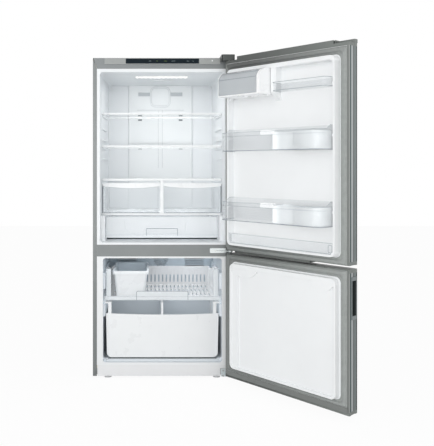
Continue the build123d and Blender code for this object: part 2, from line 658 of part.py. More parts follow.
def crisper(hand):
    """A clear crisper with its grip band; hand is -1 for the left one and 1 for the right one."""
    low = DELI_HIGH + DECK_H + FIT
    face = sorted((hand * CRISPER_IN, hand * CRISPER_OUT))
    body = sorted((hand * (CRISPER_IN + 2), hand * CRISPER_BODY))
    plan = (*body, SHELF_FRONT + CRISPER_FACE - BIN_WALL, CRISPER_END)
    tray(level(low), plan, CRISPER_TOP - 30 - low, BIN_WALL, BIN_WALL, 12)
    slab(front(SHELF_FRONT), *face, low, CRISPER_TOP, -CRISPER_FACE, radius=4)
    with BuildSketch(front(SHELF_FRONT)) as band:
        with BuildLine():
            middle = (face[0] + face[1]) / 2
            ThreePointArc((face[0], BAND_END_Z), (middle, BAND_MID_Z), (face[1], BAND_END_Z))
            Polyline((face[1], BAND_END_Z), (face[1], CRISPER_TOP), (face[0], CRISPER_TOP),
                     (face[0], BAND_END_Z))
        make_face()
    extrude(band.sketch, amount=BAND_OUT)


with BuildPart() as crisper_left:
    crisper(-1)

with BuildPart() as crisper_right:
    crisper(1)

DELI_LOW = FRESH_LOW + 12.5
DELI_TOP = 878.0
DELI_FACE_HALF = 317.0
DELI_BODY_HALF = 314.0
DELI_END = COVER_END - 20.0
GRIP_HALF = 85.0
GRIP_LOW = 774.0
GRIP_HIGH = 806.0
GRIP_D = 18.0
with BuildPart() as deli_drawer:
    plan = (-DELI_BODY_HALF, DELI_BODY_HALF, SHELF_FRONT + CRISPER_FACE - BIN_WALL, DELI_END)
    tray(level(DELI_LOW), plan, DELI_TOP - 12 - DELI_LOW, BIN_WALL, BIN_WALL, 10)
    face = (-DELI_FACE_HALF, DELI_FACE_HALF, DELI_LOW, DELI_TOP)
    slab(front(SHELF_FRONT), *face, -CRISPER_FACE, radius=4)
    pocket_back = SHELF_FRONT + CRISPER_FACE + GRIP_D
    block(-GRIP_HALF - BIN_WALL, GRIP_HALF + BIN_WALL, SHELF_FRONT, pocket_back + BIN_WALL,
          GRIP_LOW - BIN_WALL, GRIP_HIGH + BIN_WALL)
    rim = (
        (-GRIP_HALF - 5, GRIP_LOW - 5),
        (GRIP_HALF + 5, GRIP_LOW - 5),
        (GRIP_HALF + 2, GRIP_HIGH + 4),
        (-GRIP_HALF - 2, GRIP_HIGH + 4),
    )
    prism(front(SHELF_FRONT), rim, 2)
    block(-GRIP_HALF, GRIP_HALF, SHELF_FRONT - 3, pocket_back, GRIP_LOW, GRIP_HIGH, Mode.SUBTRACT)
    block(-DELI_FACE_HALF + 4, DELI_FACE_HALF - 4, SHELF_FRONT - 2, SHELF_FRONT, DELI_LOW + 3,
          DELI_LOW + 14)

# ---- freezer basket, ice bin and drawer ----------------------------------------------------------
BASKET_HALF = 321.0
BASKET_T = 4.0
BASKET_FLOOR = 6.0
BASKET_END = BACK_COVER_Y - 13.0
BASKET_BACK_HALF = 300.0
BASKET_BACK_TOP = 542.0
BASKET_SIDE_TOP = 594.0
POST_IN = 284.0
POST_OUT = 312.0
POST_D = 24.0
SLOT_W = 8.5
SLOT_H = 45.0
SLOT_LOW = 443.0
SLOT_PITCH = 23.7
SLOT_COUNT = 24
with BuildPart() as freezer_basket:
    y0 = FREEZER_FRONT
    top = BASKET_Z + BASKET_FLOOR
    block(-BASKET_HALF, BASKET_HALF, y0, BASKET_END, BASKET_Z, top)
    block(-BASKET_HALF, BASKET_HALF, y0, y0 + BASKET_T, BASKET_Z, BASKET_Z + 22)
    slab(front(y0), -142, 142, BASKET_Z, BASKET_Z + 50, -BASKET_T, radius=8)
    slab(front(y0), -138, 138, BASKET_Z + 6, BASKET_Z + 46, -1.2, Mode.SUBTRACT, 6)
    back = (-BASKET_BACK_HALF, BASKET_BACK_HALF, BASKET_END - BASKET_T, BASKET_END)
    block(*back, top, BASKET_BACK_TOP)
    for hand in (-1, 1):
        wall = (
            (hand * POST_OUT, y0 + POST_D),
            (hand * BASKET_BACK_HALF, BASKET_END),
            (hand * (BASKET_BACK_HALF - BASKET_T), BASKET_END),
            (hand * (POST_OUT - BASKET_T), y0 + POST_D),
        )
        prism(level(BASKET_Z), wall, BASKET_SIDE_TOP - BASKET_Z)
        post = sorted((hand * POST_IN, hand * POST_OUT))
        slab(level(BASKET_Z), *post, y0 + BASKET_T, y0 + POST_D + 4, BASKET_SIDE_TOP - BASKET_Z,
             radius=6)
    slope = (
        (y0 + 90, BASKET_SIDE_TOP + 1),
        (BASKET_END + 1, BASKET_SIDE_TOP + 1),
        (BASKET_END + 1, BASKET_BACK_TOP),
        (BASKET_END - 90, BASKET_BACK_TOP),
    )
    prism(side(-BASKET_HALF), slope, 2 * BASKET_HALF, Mode.SUBTRACT)
    with BuildSketch(front(BASKET_END - BASKET_T)):
        with Locations((0, SLOT_LOW + SLOT_H / 2)):
            with GridLocations(SLOT_PITCH, 1, SLOT_COUNT, 1):
                Rectangle(SLOT_W, SLOT_H)
    extrude(amount=-BASKET_T, mode=Mode.SUBTRACT)
    with BuildSketch(level(BASKET_Z)):
        with Locations((0, 0.62 * BASKET_END)):
            with GridLocations(SLOT_PITCH, 120, SLOT_COUNT, 3):
                Rectangle(SLOT_W, 70)
    extrude(amount=BASKET_FLOOR, mode=Mode.SUBTRACT)

ICE_X = -176.5
ICE_W = 203.0
ICE_FOOT_W = 162.0
ICE_Y = (72.0, BASKET_END - 74.0)
ICE_LOW = BASKET_Z + BASKET_FLOOR + FIT
ICE_HIGH = 576.0
ICE_RIM = 18.0
ICE_WALL = 2.6
with BuildPart() as ice_bin:
    mid_y = (ICE_Y[0] + ICE_Y[1]) / 2
    length = ICE_Y[1] - ICE_Y[0]
    for inset, lift, cut in ((0.0, 0.0, Mode.ADD), (ICE_WALL, ICE_WALL, Mode.SUBTRACT)):
        shells = []
        for z, width, run in (
            (ICE_LOW + lift, ICE_FOOT_W, length - 40),
            (ICE_HIGH, ICE_W - 14, length - 14),
        ):
            with BuildSketch(level(z)) as ring:
                with Locations((ICE_X, mid_y)):
                    RectangleRounded(width - 2 * inset, run - 2 * inset, 14 - inset)
            shells.append(ring.sketch)
        loft(shells, mode=cut)
    x0, x1 = ICE_X - ICE_W / 2, ICE_X + ICE_W / 2
    hole = (x0 + 8 + ICE_WALL, x1 - 8 - ICE_WALL, ICE_Y[0] + 8 + ICE_WALL, ICE_Y[1] - 8 - ICE_WALL)
    frame_slab(level(ICE_HIGH - ICE_RIM), (x0, x1, *ICE_Y), hole, ICE_RIM, 16, 11)

DRAWER_HALF = 306.0
DRAWER_FACE_HALF = 311.0
DRAWER_LOW = 107.0
DRAWER_FACE_TOP = 350.0
DRAWER_FACE_MID = 342.0
DRAWER_TOP = 411.0
DRAWER_FACE = 6.0
DRAWER_WALL = 3.0
DRAWER_END = HUMP_Y - 16.0
DRAWER_CORNER = 27.0
DIVIDER_T = 10.0
with BuildPart() as freezer_drawer:
    y0 = FREEZER_FRONT
    with BuildSketch(front(y0)) as face:
        with BuildLine():
            corner = (DRAWER_FACE_HALF, DRAWER_FACE_TOP)
            other = (-DRAWER_FACE_HALF, DRAWER_FACE_TOP)
            Polyline(other, (-DRAWER_HALF, DRAWER_LOW), (DRAWER_HALF, DRAWER_LOW), corner)
            ThreePointArc(corner, (0, DRAWER_FACE_MID), other)
        make_face()
        fillet(face.vertices().group_by(Axis.Y)[0], DRAWER_CORNER)
    extrude(amount=-DRAWER_FACE)
    inner = DRAWER_HALF - DRAWER_FACE
    with BuildSketch(front(y0 + DRAWER_FACE)) as tub:
        with Locations((0, (DRAWER_LOW + DRAWER_TOP) / 2)):
            Rectangle(2 * inner, DRAWER_TOP - DRAWER_LOW)
        fillet(tub.vertices().group_by(Axis.Y)[0], DRAWER_CORNER)
    extrude(amount=-(DRAWER_END - y0 - DRAWER_FACE))
    with BuildSketch(front(y0 + DRAWER_FACE)) as hollow:
        with Locations((0, (DRAWER_LOW + DRAWER_TOP) / 2 + DRAWER_WALL)):
            Rectangle(2 * (inner - DRAWER_WALL), DRAWER_TOP - DRAWER_LOW)
        fillet(hollow.vertices().group_by(Axis.Y)[0], DRAWER_CORNER - DRAWER_WALL)
    extrude(amount=-(DRAWER_END - y0 - DRAWER_FACE - DRAWER_WALL), mode=Mode.SUBTRACT)
    for hand in (-1, 1):
        post = sorted((hand * (POST_IN - 2), hand * inner))
        block(*post, y0 + DRAWER_FACE, y0 + POST_D, DRAWER_LOW + DRAWER_CORNER, DRAWER_TOP)
        rim = sorted((hand * (inner - DRAWER_WALL), hand * BASKET_HALF))
        block(*rim, y0 + DRAWER_FACE, DRAWER_END, DRAWER_RIM_Z, DRAWER_TOP)
    run = (y0 + DRAWER_FACE, DRAWER_END - DRAWER_WALL)
    block(-DIVIDER_T / 2, DIVIDER_T / 2, *run, DRAWER_LOW + DRAWER_WALL, DRAWER_TOP - 3)

# ---- freezer back cover, evaporator and its fan --------------------------------------------------
FAN_X = 0.0
FAN_Z = 585.0
FAN_R = 46.0
FAN_RING = 51.0
GRILLE_PITCH = 10.0
COVER_T = 3.0
MOTOR_R = 20.0
SHAFT_R = 2.5
RING_D = 50.0  # how far the ring round the fan stands back
SPIDER_Y = 36.0  # back of the motor's three arms, behind the cover's face
ARM_ANGLES = (90, 210, 330)
LOUVRES = (-210.0, 210.0)  # middles of the two louvred fields
LOUVRE_HALF = 60.0
LOUVRE_LOW = 540.0
LOUVRE_PITCH = 14.0
LOUVRE_COUNT = 6
FOOT_SLOTS = 9
FOOT_PITCH = 60.0
FOOT_HALF = 18.0
FOOT_Z = (HUMP_Z + 14, HUMP_Z + 22)
with BuildPart() as freezer_back_cover:
    y0 = BACK_COVER_Y
    face = (-FREEZER_HALF + FIT, FREEZER_HALF - FIT, HUMP_Z + FIT, FREEZER_HIGH - FIT)
    slab(front(y0), *face, -COVER_T, radius=FREEZER_CORNER)
    disc(front(y0 + COVER_T), FAN_X, FAN_Z, FAN_RING + 3, -RING_D)
    disc(front(y0), FAN_X, FAN_Z, FAN_RING, -RING_D - 10, Mode.SUBTRACT)
    disc(front(y0), FAN_X, FAN_Z, FAN_RING + 1, -COVER_T)
    for k in range(-4, 5):
        z = GRILLE_PITCH * k
        half = math.sqrt(FAN_RING**2 - z**2) - GRILLE_PITCH / 2
        slot = (FAN_X - half, FAN_X + half, FAN_Z + z - 2, FAN_Z + z + 2)
        slab(front(y0), *slot, -COVER_T, Mode.SUBTRACT, 1.9)
    for angle in ARM_ANGLES:
        arm = Plane(origin=(FAN_X, y0 + SPIDER_Y, FAN_Z), x_dir=(math.cos(math.radians(angle)), 0,
                    math.sin(math.radians(angle))), z_dir=(0, -1, 0))
        slab(arm, 0, FAN_RING + 1, -3, 3, -6)
    disc(front(y0 + 30), FAN_X, FAN_Z, MOTOR_R, -22)
    disc(front(y0 + 6), FAN_X, FAN_Z, SHAFT_R, -26)
    for x in LOUVRES:
        for k in range(LOUVRE_COUNT):
            z = LOUVRE_LOW + LOUVRE_PITCH * k
            slot = (x - LOUVRE_HALF, x + LOUVRE_HALF, z, z + 6)
            slab(front(y0), *slot, -COVER_T, Mode.SUBTRACT, 2.9)
    for k in range(FOOT_SLOTS):
        x = FOOT_PITCH * (k - (FOOT_SLOTS - 1) / 2)
        slab(front(y0), x - FOOT_HALF, x + FOOT_HALF, *FOOT_Z, -COVER_T, Mode.SUBTRACT, 3.9)


BLADE_T = 1.2
BLADE_TILT = math.radians(28)


def fan_blades(plane, hub_r, tip_r, count):
    """Flat pitched blades round a hub whose middle and axis are those of the plane."""
    for k in range(count):
        turn = 2 * math.pi * k / count
        along = plane.x_dir * math.cos(turn) + plane.y_dir * math.sin(turn)
        across = plane.y_dir * math.cos(turn) - plane.x_dir * math.sin(turn)
        face = plane.z_dir * math.cos(BLADE_TILT) + across * math.sin(BLADE_TILT)
        with BuildSketch(Plane(origin=plane.origin, x_dir=along, z_dir=face)) as blade:
            with Locations(((0.6 * hub_r + tip_r) / 2, 0)):
                RectangleRounded(tip_r - 0.6 * hub_r, hub_r, hub_r * 0.3)
        extrude(blade.sketch, amount=BLADE_T)


HUB_R = 15.0
HUB_D = 14.0
HUB_Y = BACK_COVER_Y + 26  # back face of the fan's hub
FAN_BLADES = 7
with BuildPart() as evaporator_fan:
    disc(front(HUB_Y), FAN_X, FAN_Z, HUB_R, HUB_D)
    middle = (FAN_X, HUB_Y - 6, FAN_Z)
    fan_blades(Plane(origin=middle, x_dir=(1, 0, 0), z_dir=(0, -1, 0)), HUB_R, FAN_R, FAN_BLADES)
    disc(front(HUB_Y + 3), FAN_X, FAN_Z, SHAFT_R + RUN, HUB_D + 10, Mode.SUBTRACT)


FIN_T = 1.2
FIRST_FIN = 12.0  # first fin from the coil's end
ENDS = 20.0  # length of a coil that holds no fins


def finned_coil(x0, x1, y0, y1, z0, z1, pitch, tube_r, rows):
    """Tubes along X through a stack of thin fins."""
    count = int((x1 - x0 - ENDS) / pitch)
    for k in range(count):
        x = x0 + FIRST_FIN + pitch * k
        block(x, x + FIN_T, y0, y1, z0, z1)
    for y in (y0 + (y1 - y0) * 0.28, y0 + (y1 - y0) * 0.72):
        for k in range(rows):
            z = z0 + (z1 - z0) * (k + 0.5) / rows
            disc(side(x0), y, z, tube_r, x1 - x0)
    for x in (x0 + 4, x1 - 6):
        block(x, x + 2, y0 - 4, y1 + 4, z0 - 1.5, z1 + 4)


EVAPORATOR_HALF = 295.0
with BuildPart() as evaporator:
    depth = (BACK_COVER_Y + 15, LINER_DEPTH - 24)
    finned_coil(-EVAPORATOR_HALF, EVAPORATOR_HALF, *depth, HUMP_Z + 1.5, 500, 18, 4, 4)

# ---- machine space -------------------------------------------------------------------------------
COMP_X = -185.0
COMP_Y = (DECK_Y + CASE_D) / 2 - 5.0
COMP_R = 76.0
COMP_H = 150.0
DECK_TOP = DECK_Z + PAN_T
MOUNT_H = 14.0  # rubber mounts under the compressor's base plate
MOUNT_R = 9.0
BASE_PLATE = (96.0, 60.0, 5.0)  # half width, half depth and thickness
MOUNT_IN = 12.0  # mounts in from the edges of the base plate
SEAM_UP = 86.0
TERMINALS = (26.0, 28.0, 50.0, 105.0)  # how far out, half depth, lower and upper edge
with BuildPart() as compressor:
    disc(level(DECK_TOP + MOUNT_H + 2), COMP_X, COMP_Y, COMP_R, COMP_H)
    fillet(compressor.edges().filter_by(GeomType.CIRCLE), 30)
    disc(level(DECK_TOP + SEAM_UP), COMP_X, COMP_Y, COMP_R + 3, 5)
    half_w, half_d, thick = BASE_PLATE
    plate = (COMP_X - half_w, COMP_X + half_w, COMP_Y - half_d, COMP_Y + half_d)
    block(*plate, DECK_TOP + MOUNT_H, DECK_TOP + MOUNT_H + thick)
    for x in (plate[0] + MOUNT_IN, plate[1] - MOUNT_IN):
        for y in (plate[2] + MOUNT_IN, plate[3] - MOUNT_IN):
            disc(level(DECK_TOP), x, y, MOUNT_R, MOUNT_H)
    out, half_d, low, high = TERMINALS
    terminals = (COMP_X + COMP_R - 12, COMP_X + COMP_R + out, COMP_Y - half_d, COMP_Y + half_d)
    block(*terminals, DECK_TOP + low, DECK_TOP + high)
    disc(level(DECK_TOP + MOUNT_H + COMP_H), COMP_X - 20, COMP_Y, 5, 12)

PAN_BOTTOM = DECK_TOP + COMP_H + 26 + FIT
DRAIN_HALF_W = 110.0
DRAIN_HALF_D = 80.0
DRAIN_H = 34.0
DRAIN_WALL = 2.0
with BuildPart() as drain_pan:
    width = (COMP_X - DRAIN_HALF_W, COMP_X + DRAIN_HALF_W)
    depth = (COMP_Y - DRAIN_HALF_D, COMP_Y + DRAIN_HALF_D)
    tray(level(PAN_BOTTOM), (*width, *depth), DRAIN_H, DRAIN_WALL, DRAIN_WALL, 14)

SHROUD_X = 20.0
SHROUD_T = 4.0
SHROUD_H = 196.0
COOL_R = 70.0
COOL_Y = COMP_Y + 10
COOL_Z = DECK_TOP + 96
COOL_RING = 5.0  # clearance round the blades
COOL_HUB_R = 20.0
COOL_HUB_D = 18.0
COOL_SHAFT_R = 3.0
COOL_BLADES = 5
with BuildPart() as condenser_fan_shroud:
    plate = (SHROUD_X, SHROUD_X + SHROUD_T, DECK_Y + 30, CASE_D - 20)
    block(*plate, DECK_TOP, DECK_TOP + SHROUD_H)
    disc(side(SHROUD_X - 18), COOL_Y, COOL_Z, COOL_R + COOL_RING + SHROUD_T, 18)
    disc(side(SHROUD_X - 20), COOL_Y, COOL_Z, COOL_R + COOL_RING, 40, Mode.SUBTRACT)
    for angle in ARM_ANGLES:
        arm = Plane(origin=(SHROUD_X - 2, COOL_Y, COOL_Z), x_dir=(0, math.cos(math.radians(angle)),
                    math.sin(math.radians(angle))), z_dir=(1, 0, 0))
        slab(arm, 0, COOL_R + COOL_RING + 2, -4, 4, 6)
    disc(side(SHROUD_X - SHROUD_T), COOL_Y, COOL_Z, 24, 40)
    disc(side(SHROUD_X - 30), COOL_Y, COOL_Z, COOL_SHAFT_R, 28)

with BuildPart() as condenser_fan:
    disc(side(SHROUD_X - 28), COOL_Y, COOL_Z, COOL_HUB_R, COOL_HUB_D)
    middle = (SHROUD_X - 20, COOL_Y, COOL_Z)
    blades = Plane(origin=middle, x_dir=(0, 1, 0), z_dir=(1, 0, 0))
    fan_blades(blades, COOL_HUB_R, COOL_R, COOL_BLADES)
    disc(side(SHROUD_X - 30), COOL_Y, COOL_Z, COOL_SHAFT_R + RUN, 30, Mode.SUBTRACT)

CONDENSER_X = (90.0, 330.0)
CONDENSER_H = 150.0
with BuildPart() as condenser:
    depth = (DECK_Y + 40, CASE_D - 30)
    finned_coil(*CONDENSER_X, *depth, DECK_TOP + 1.5, DECK_TOP + CONDENSER_H, 14, 4, 4)

INLET = (324.0, 266.0)  # middle of the power inlet
INLET_PLATE = 290.0  # the inlet's plate closes the machine space from here to the side
SOCKET = (18.0, 14.0, 16.0)  # half width, half height and depth
SOCKET_WALL = 6.0
COVER_SHEET = 1.5
VENT_FIELDS = (-260.0, -90.0, 90.0, 220.0)  # middles of the slotted fields
VENT_HALF = 55.0
VENT_LOW = 90.0
VENT_PITCH = 20.0
VENT_SLOT = 8.0
VENT_COUNT = 9
with BuildPart() as machine_cover:
    y1 = CASE_D
    cover = (-INNER_HALF, INLET_PLATE - FIT, y1 - COVER_SHEET, y1)
    block(*cover, DECK_Z + PAN_T, MACHINE_TOP - FIT)
    for x in VENT_FIELDS:
        for k in range(VENT_COUNT):
            z = VENT_LOW + VENT_PITCH * k
            slot = (x - VENT_HALF, x + VENT_HALF, z, z + VENT_SLOT)
            slab(front(y1 - COVER_SHEET), *slot, -COVER_SHEET, Mode.SUBTRACT, 3.9)

with BuildPart() as power_inlet:
    x, z = INLET
    plate = (INLET_PLATE, INNER_HALF, CASE_D - COVER_SHEET, CASE_D)
    block(*plate, DECK_Z + PAN_T, MACHINE_TOP - FIT)
    half_w, half_h, deep = SOCKET
    wall = SOCKET_WALL
    shell = (x - half_w - wall, x + half_w + wall, CASE_D - deep - wall, CASE_D)
    block(*shell, z - half_h - wall, z + half_h + wall)
    block(x - half_w, x + half_w, CASE_D - deep, CASE_D, z - half_h, z + half_h, Mode.SUBTRACT)
    for dx, dz in ((-10, -3), (10, -3), (0, 6)):
        pin = (x + dx - 2, x + dx + 2, CASE_D - deep, CASE_D - 3)
        block(*pin, z + dz - 2, z + dz + 2)


# ---- doors ---------------------------------------------------------------------------------------
def door_body(z0, z1, inset, mode=Mode.ADD):
    """A door's plan, with the groove in its free edge, between two heights."""
    g0, g1 = EDGE_GROOVE_AT
    corners = (
        (inset, inset),
        (DOOR_W - inset, inset),
        (DOOR_W - inset, g0 - EDGE_GROOVE),
        (DOOR_W - EDGE_GROOVE - inset, g0),
        (DOOR_W - EDGE_GROOVE - inset, g1),
        (DOOR_W - inset, g1 + EDGE_GROOVE),
        (DOOR_W - inset, DOOR_T - inset),
        (inset, DOOR_T - inset),
    )
    with BuildSketch(door_plan(z0)) as outline:
        with BuildLine():
            Polyline(*corners, close=True)
        make_face()
        fillet(outline.vertices().group_by(Axis.Y)[-1], 6 - inset)
    extrude(outline.sketch, amount=z1 - z0, mode=mode)


def door_block(s0, s1, p0, p1, z0, z1, mode=Mode.ADD, radius=0.0):
    """A box on a door: s from the hinge edge, p out of the inner face towards the case."""
    slab(door_face(p0), s0, s1, z0, z1, p1 - p0, mode, radius)


def door_shell(z0, z1):
    """The wrapped steel skin of a door with its hems."""
    door_body(z0, z1, 0)
    door_body(z0, z1, SHEET, Mode.SUBTRACT)
    door_block(HEM, DOOR_W - HEM, -SHEET, 0, z0, z1, Mode.SUBTRACT)


def door_liner(z0, z1, rim, rise, top_w):
    """A door's inner liner: its plate, and a raised rim that is hollow behind."""
    door_block(HEM + FIT, DOOR_W - HEM - FIT, -LINER, 0, z0 + FIT, z1 - FIT)
    inset, low, high = rim
    outer = (inset, DOOR_W - inset, low, high)
    side_in = inset + DIKE_W
    inner = (side_in, DOOR_W - side_in, low + DIKE_W, high - top_w)
    frame_slab(door_face(0), outer, inner, rise, DIKE_R, DIKE_R - DIKE_W / 2)
    rim_core(rim, rise - LINER, top_w, LINER, -LINER, Mode.SUBTRACT)


def rim_core(rim, rise, top_w, wall, start, mode):
    """The core of a door liner's raised rim, inside its walls."""
    inset, low, high = rim
    outer = (inset + wall, DOOR_W - inset - wall, low + wall, high - wall)
    side_in = inset + DIKE_W - wall
    inner = (side_in, DOOR_W - side_in, low + DIKE_W - wall, high - top_w + wall)
    radii = (DIKE_R - wall, DIKE_R - DIKE_W / 2 + wall)
    frame_slab(door_face(start), outer, inner, rise - start, *radii, mode)


def door_foam(z0, z1, rim, rise, top_w):
    """The insulation of a door, with a tongue in the liner's raised rim."""
    door_body(z0 + FIT, z1 - FIT, SHEET + FIT)
    door_block(0, DOOR_W, -LINER - FIT, 1, z0, z1, Mode.SUBTRACT)
    rim_core(rim, rise - LINER - FIT, top_w, LINER + FIT, -LINER - 2 * FIT, Mode.ADD)


def door_gasket(z0, z1, low_w):
    """The magnetic seal round a door: a flat base and a hollow-looking bulb."""
    outer = (GASKET_IN, DOOR_W - GASKET_IN, z0, z1)
    side_in = GASKET_IN + GASKET_BASE_W
    inner = (side_in, DOOR_W - side_in, z0 + low_w, z1 - GASKET_BASE_W)
    frame_slab(door_face(0), outer, inner, GASKET_BASE, 3, 3)
    edge = 4.0
    outer = (outer[0] + edge, outer[1] - edge, z0 + edge, z1 - edge)
    inner = (outer[0] + GASKET_BULB, outer[1] - GASKET_BULB, outer[2] + GASKET_BULB,
             outer[3] - GASKET_BULB)
    frame_slab(door_face(GASKET_BASE), outer, inner, GASKET_H - GASKET_BASE, 4, 4)


UPPER_SHELL = (UPPER_LOW + CAP_H, UPPER_HIGH - CAP_H)
LOWER_SHELL = (LOWER_LOW + CAP_H, LOWER_HIGH - CAP_H)

with BuildPart() as upper_door_shell:
    door_shell(*UPPER_SHELL)

with BuildPart() as upper_door_foam:
    door_foam(*UPPER_SHELL, UPPER_RIM, UPPER_RISE, UPPER_RIM_TOP)

with BuildPart() as upper_door_gasket:
    door_gasket(UPPER_LOW + 2, UPPER_HIGH - 18, 30.0)

LUG = (8.0, 12.0, 38.0)  # reach from the rim, and its two distances from the door's face
SIDE_IN = DIKE_IN + DIKE_W
LOW_BIN = 886.0
MID_BIN = 1240.0
LUG_DROP = 42.0
BIN_BACK_H = 114.0
BIN_FRONT_H = 94.0
SMALL_BIN = 1530.0
SMALL_BIN_H = 42.0
DAIRY_LOW = 1520.0
PILLAR = (340.0, 372.0)
with BuildPart() as upper_door_liner:
    door_liner(*UPPER_SHELL, UPPER_RIM, UPPER_RISE, UPPER_RIM_TOP)
    hinge_lugs = (LOW_BIN + BIN_BACK_H - LUG_DROP, MID_BIN + BIN_BACK_H - LUG_DROP, DAIRY_LOW)
    free_lugs = (*hinge_lugs[:2], SMALL_BIN + SMALL_BIN_H - LUG_DROP / 2)
    for s, heights in ((SIDE_IN, hinge_lugs), (DOOR_W - SIDE_IN - LUG[0], free_lugs)):
        for z in heights:
            door_block(s, s + LUG[0], LUG[1], LUG[2], z - 12, z)
    door_block(*PILLAR, 0, UPPER_RISE, SMALL_BIN, UPPER_RIM[2] - UPPER_RIM_TOP)
    foot = ((-0.0, SMALL_BIN - 40), (-UPPER_RISE, SMALL_BIN), (0.0, SMALL_BIN))
    prism(door_end(PILLAR[0]), foot, PILLAR[1] - PILLAR[0])

with BuildPart() as freezer_door_shell:
    door_shell(*LOWER_SHELL)
    HANDLE_Z = (462.0, 658.0)
    HANDLE_OUT = (22.0, 60.0)
    HANDLE_D = 28.0
    WELL_WALL = 4.0
    WELL_END = 18.0
    pocket = (HANDLE_OUT[0] - FIT, HANDLE_OUT[1] + FIT, HANDLE_Z[0] - FIT, HANDLE_Z[1] + FIT)
    slab(door_end(DOOR_W - HANDLE_D), *pocket, HANDLE_D, Mode.SUBTRACT)

with BuildPart() as freezer_door_handle:
    well_x = (HANDLE_OUT[0] + WELL_WALL, HANDLE_OUT[1] - WELL_WALL)
    well_z = (HANDLE_Z[0] + WELL_END, HANDLE_Z[1] - WELL_END)
    back = door_end(DOOR_W - HANDLE_D)
    slab(back, *HANDLE_OUT, *HANDLE_Z, HANDLE_D, radius=3)
    slab(door_end(DOOR_W - HANDLE_D + WELL_WALL), *well_x, *well_z, HANDLE_D, Mode.SUBTRACT)
    # the two ends, the floor and the two side walls of the finger well are separate mouldings
    for z in (well_z[0] - FIT, well_z[1]):
        slab(back, *HANDLE_OUT, z, z + FIT, HANDLE_D, Mode.SUBTRACT)
    for x in (well_x[0] - FIT, well_x[1]):
        slab(back, x, x + FIT, *well_z, HANDLE_D, Mode.SUBTRACT)

with BuildPart() as freezer_door_foam:
    door_foam(*LOWER_SHELL, LOWER_RIM, LOWER_RISE, LOWER_RIM_TOP)
    strip = door_end(DOOR_W - HANDLE_D - FIT)
    slab(strip, *pocket, HANDLE_D, Mode.SUBTRACT)
    # the strip of foam beside the handle is parted from the rest, above, below and round the pocket
    slab(door_end(DOOR_W - HANDLE_D - 2 * FIT), 0, DOOR_T, *LOWER_SHELL, FIT, Mode.SUBTRACT)
    for z in (pocket[2] - FIT, pocket[3]):
        slab(strip, 0, DOOR_T, z, z + FIT, HANDLE_D, Mode.SUBTRACT)

with BuildPart() as freezer_door_gasket:
    door_gasket(LOWER_LOW + 38, LOWER_HIGH - 5, 22.0)

with BuildPart() as freezer_door_liner:
    door_liner(*LOWER_SHELL, LOWER_RIM, LOWER_RISE, LOWER_RIM_TOP)
    near, top = LOWER_RIM[0] + DIKE_W, LOWER_RIM[2] - LOWER_RIM_TOP
    panel = (near + 40, DOOR_W - near, LOWER_RIM[1] + DIKE_W, top)
    slab(door_face(0), *panel, 16, radius=6)
    slab(door_face(0), near, near + 44, *panel[2:], 24, radius=4)
    for s0, s1 in ((near, 232.0), (DOOR_W - 190.0, DOOR_W - near)):
        with BuildSketch(door_face(0)) as wing:
            with BuildLine():
                Polyline((s0, top - 8), (s0, top), (s1, top), (s1, top - 8))
                ThreePointArc((s1, top - 8), ((s0 + s1) / 2, top - 44), (s0, top - 8))
            make_face()
        extrude(wing.sketch, amount=26)
    rim_core(LOWER_RIM, LOWER_RISE - LINER, LOWER_RIM_TOP, LINER, -LINER, Mode.SUBTRACT)


def pivot_bore(z0, depth):
    """A blind bore for a hinge pin in a door cap, on the hinge axis."""
    disc(level(z0), HINGE_X, HINGE_Y, PIN_R + RUN, depth, Mode.SUBTRACT)


RIDGE = (80.0, 665.0)
RIDGE_THIN = 24.0
GRIP_FROM = 533.0
SKIRT = 10.0
with BuildPart() as upper_door_end_caps:
    door_body(UPPER_HIGH - CAP_H, UPPER_HIGH, 0)
    slab(door_plan(UPPER_HIGH), *RIDGE, 0, DOOR_T, CAP_RIDGE)
    slab(door_plan(UPPER_HIGH), RIDGE[1], DOOR_W, DOOR_T - RIDGE_THIN, DOOR_T, CAP_RIDGE)
    for k in range(4):
        s = RIDGE[1] + 5 + 9 * k
        slab(door_plan(UPPER_HIGH), s, s + 3, 8, DOOR_T - RIDGE_THIN, CAP_RIDGE - 4 * k)
    pivot_bore(UPPER_HIGH - PIN_GRIP - 1, PIN_GRIP + 1)
    door_body(UPPER_LOW, UPPER_LOW + CAP_H, 0)
    slab(door_plan(UPPER_LOW - SKIRT), 60, GRIP_FROM, 6, DOOR_T, SKIRT)
    grip = (GRIP_FROM + 12, DOOR_W - 12, 18, DOOR_T - 10)
    slab(door_plan(UPPER_LOW), *grip, CAP_H - 3, Mode.SUBTRACT, 8)
    pivot_bore(UPPER_LOW, PIN_GRIP + 1)

with BuildPart() as freezer_door_end_caps:
    door_body(LOWER_HIGH - CAP_H, LOWER_HIGH, 0)
    pivot_bore(LOWER_HIGH - PIN_GRIP - 1, PIN_GRIP + 1)
    door_body(LOWER_LOW, LOWER_LOW + CAP_H, 0)
    pivot_bore(LOWER_LOW, PIN_GRIP + 1)

# ---- door bins -----------------------------------------------------------------------------------
BIN_OUT = 126.0
BIN_NEAR = 4.0
BIN_R = 40.0
BIN_SIDE = SIDE_IN + LUG[0]
BAND = 19.0


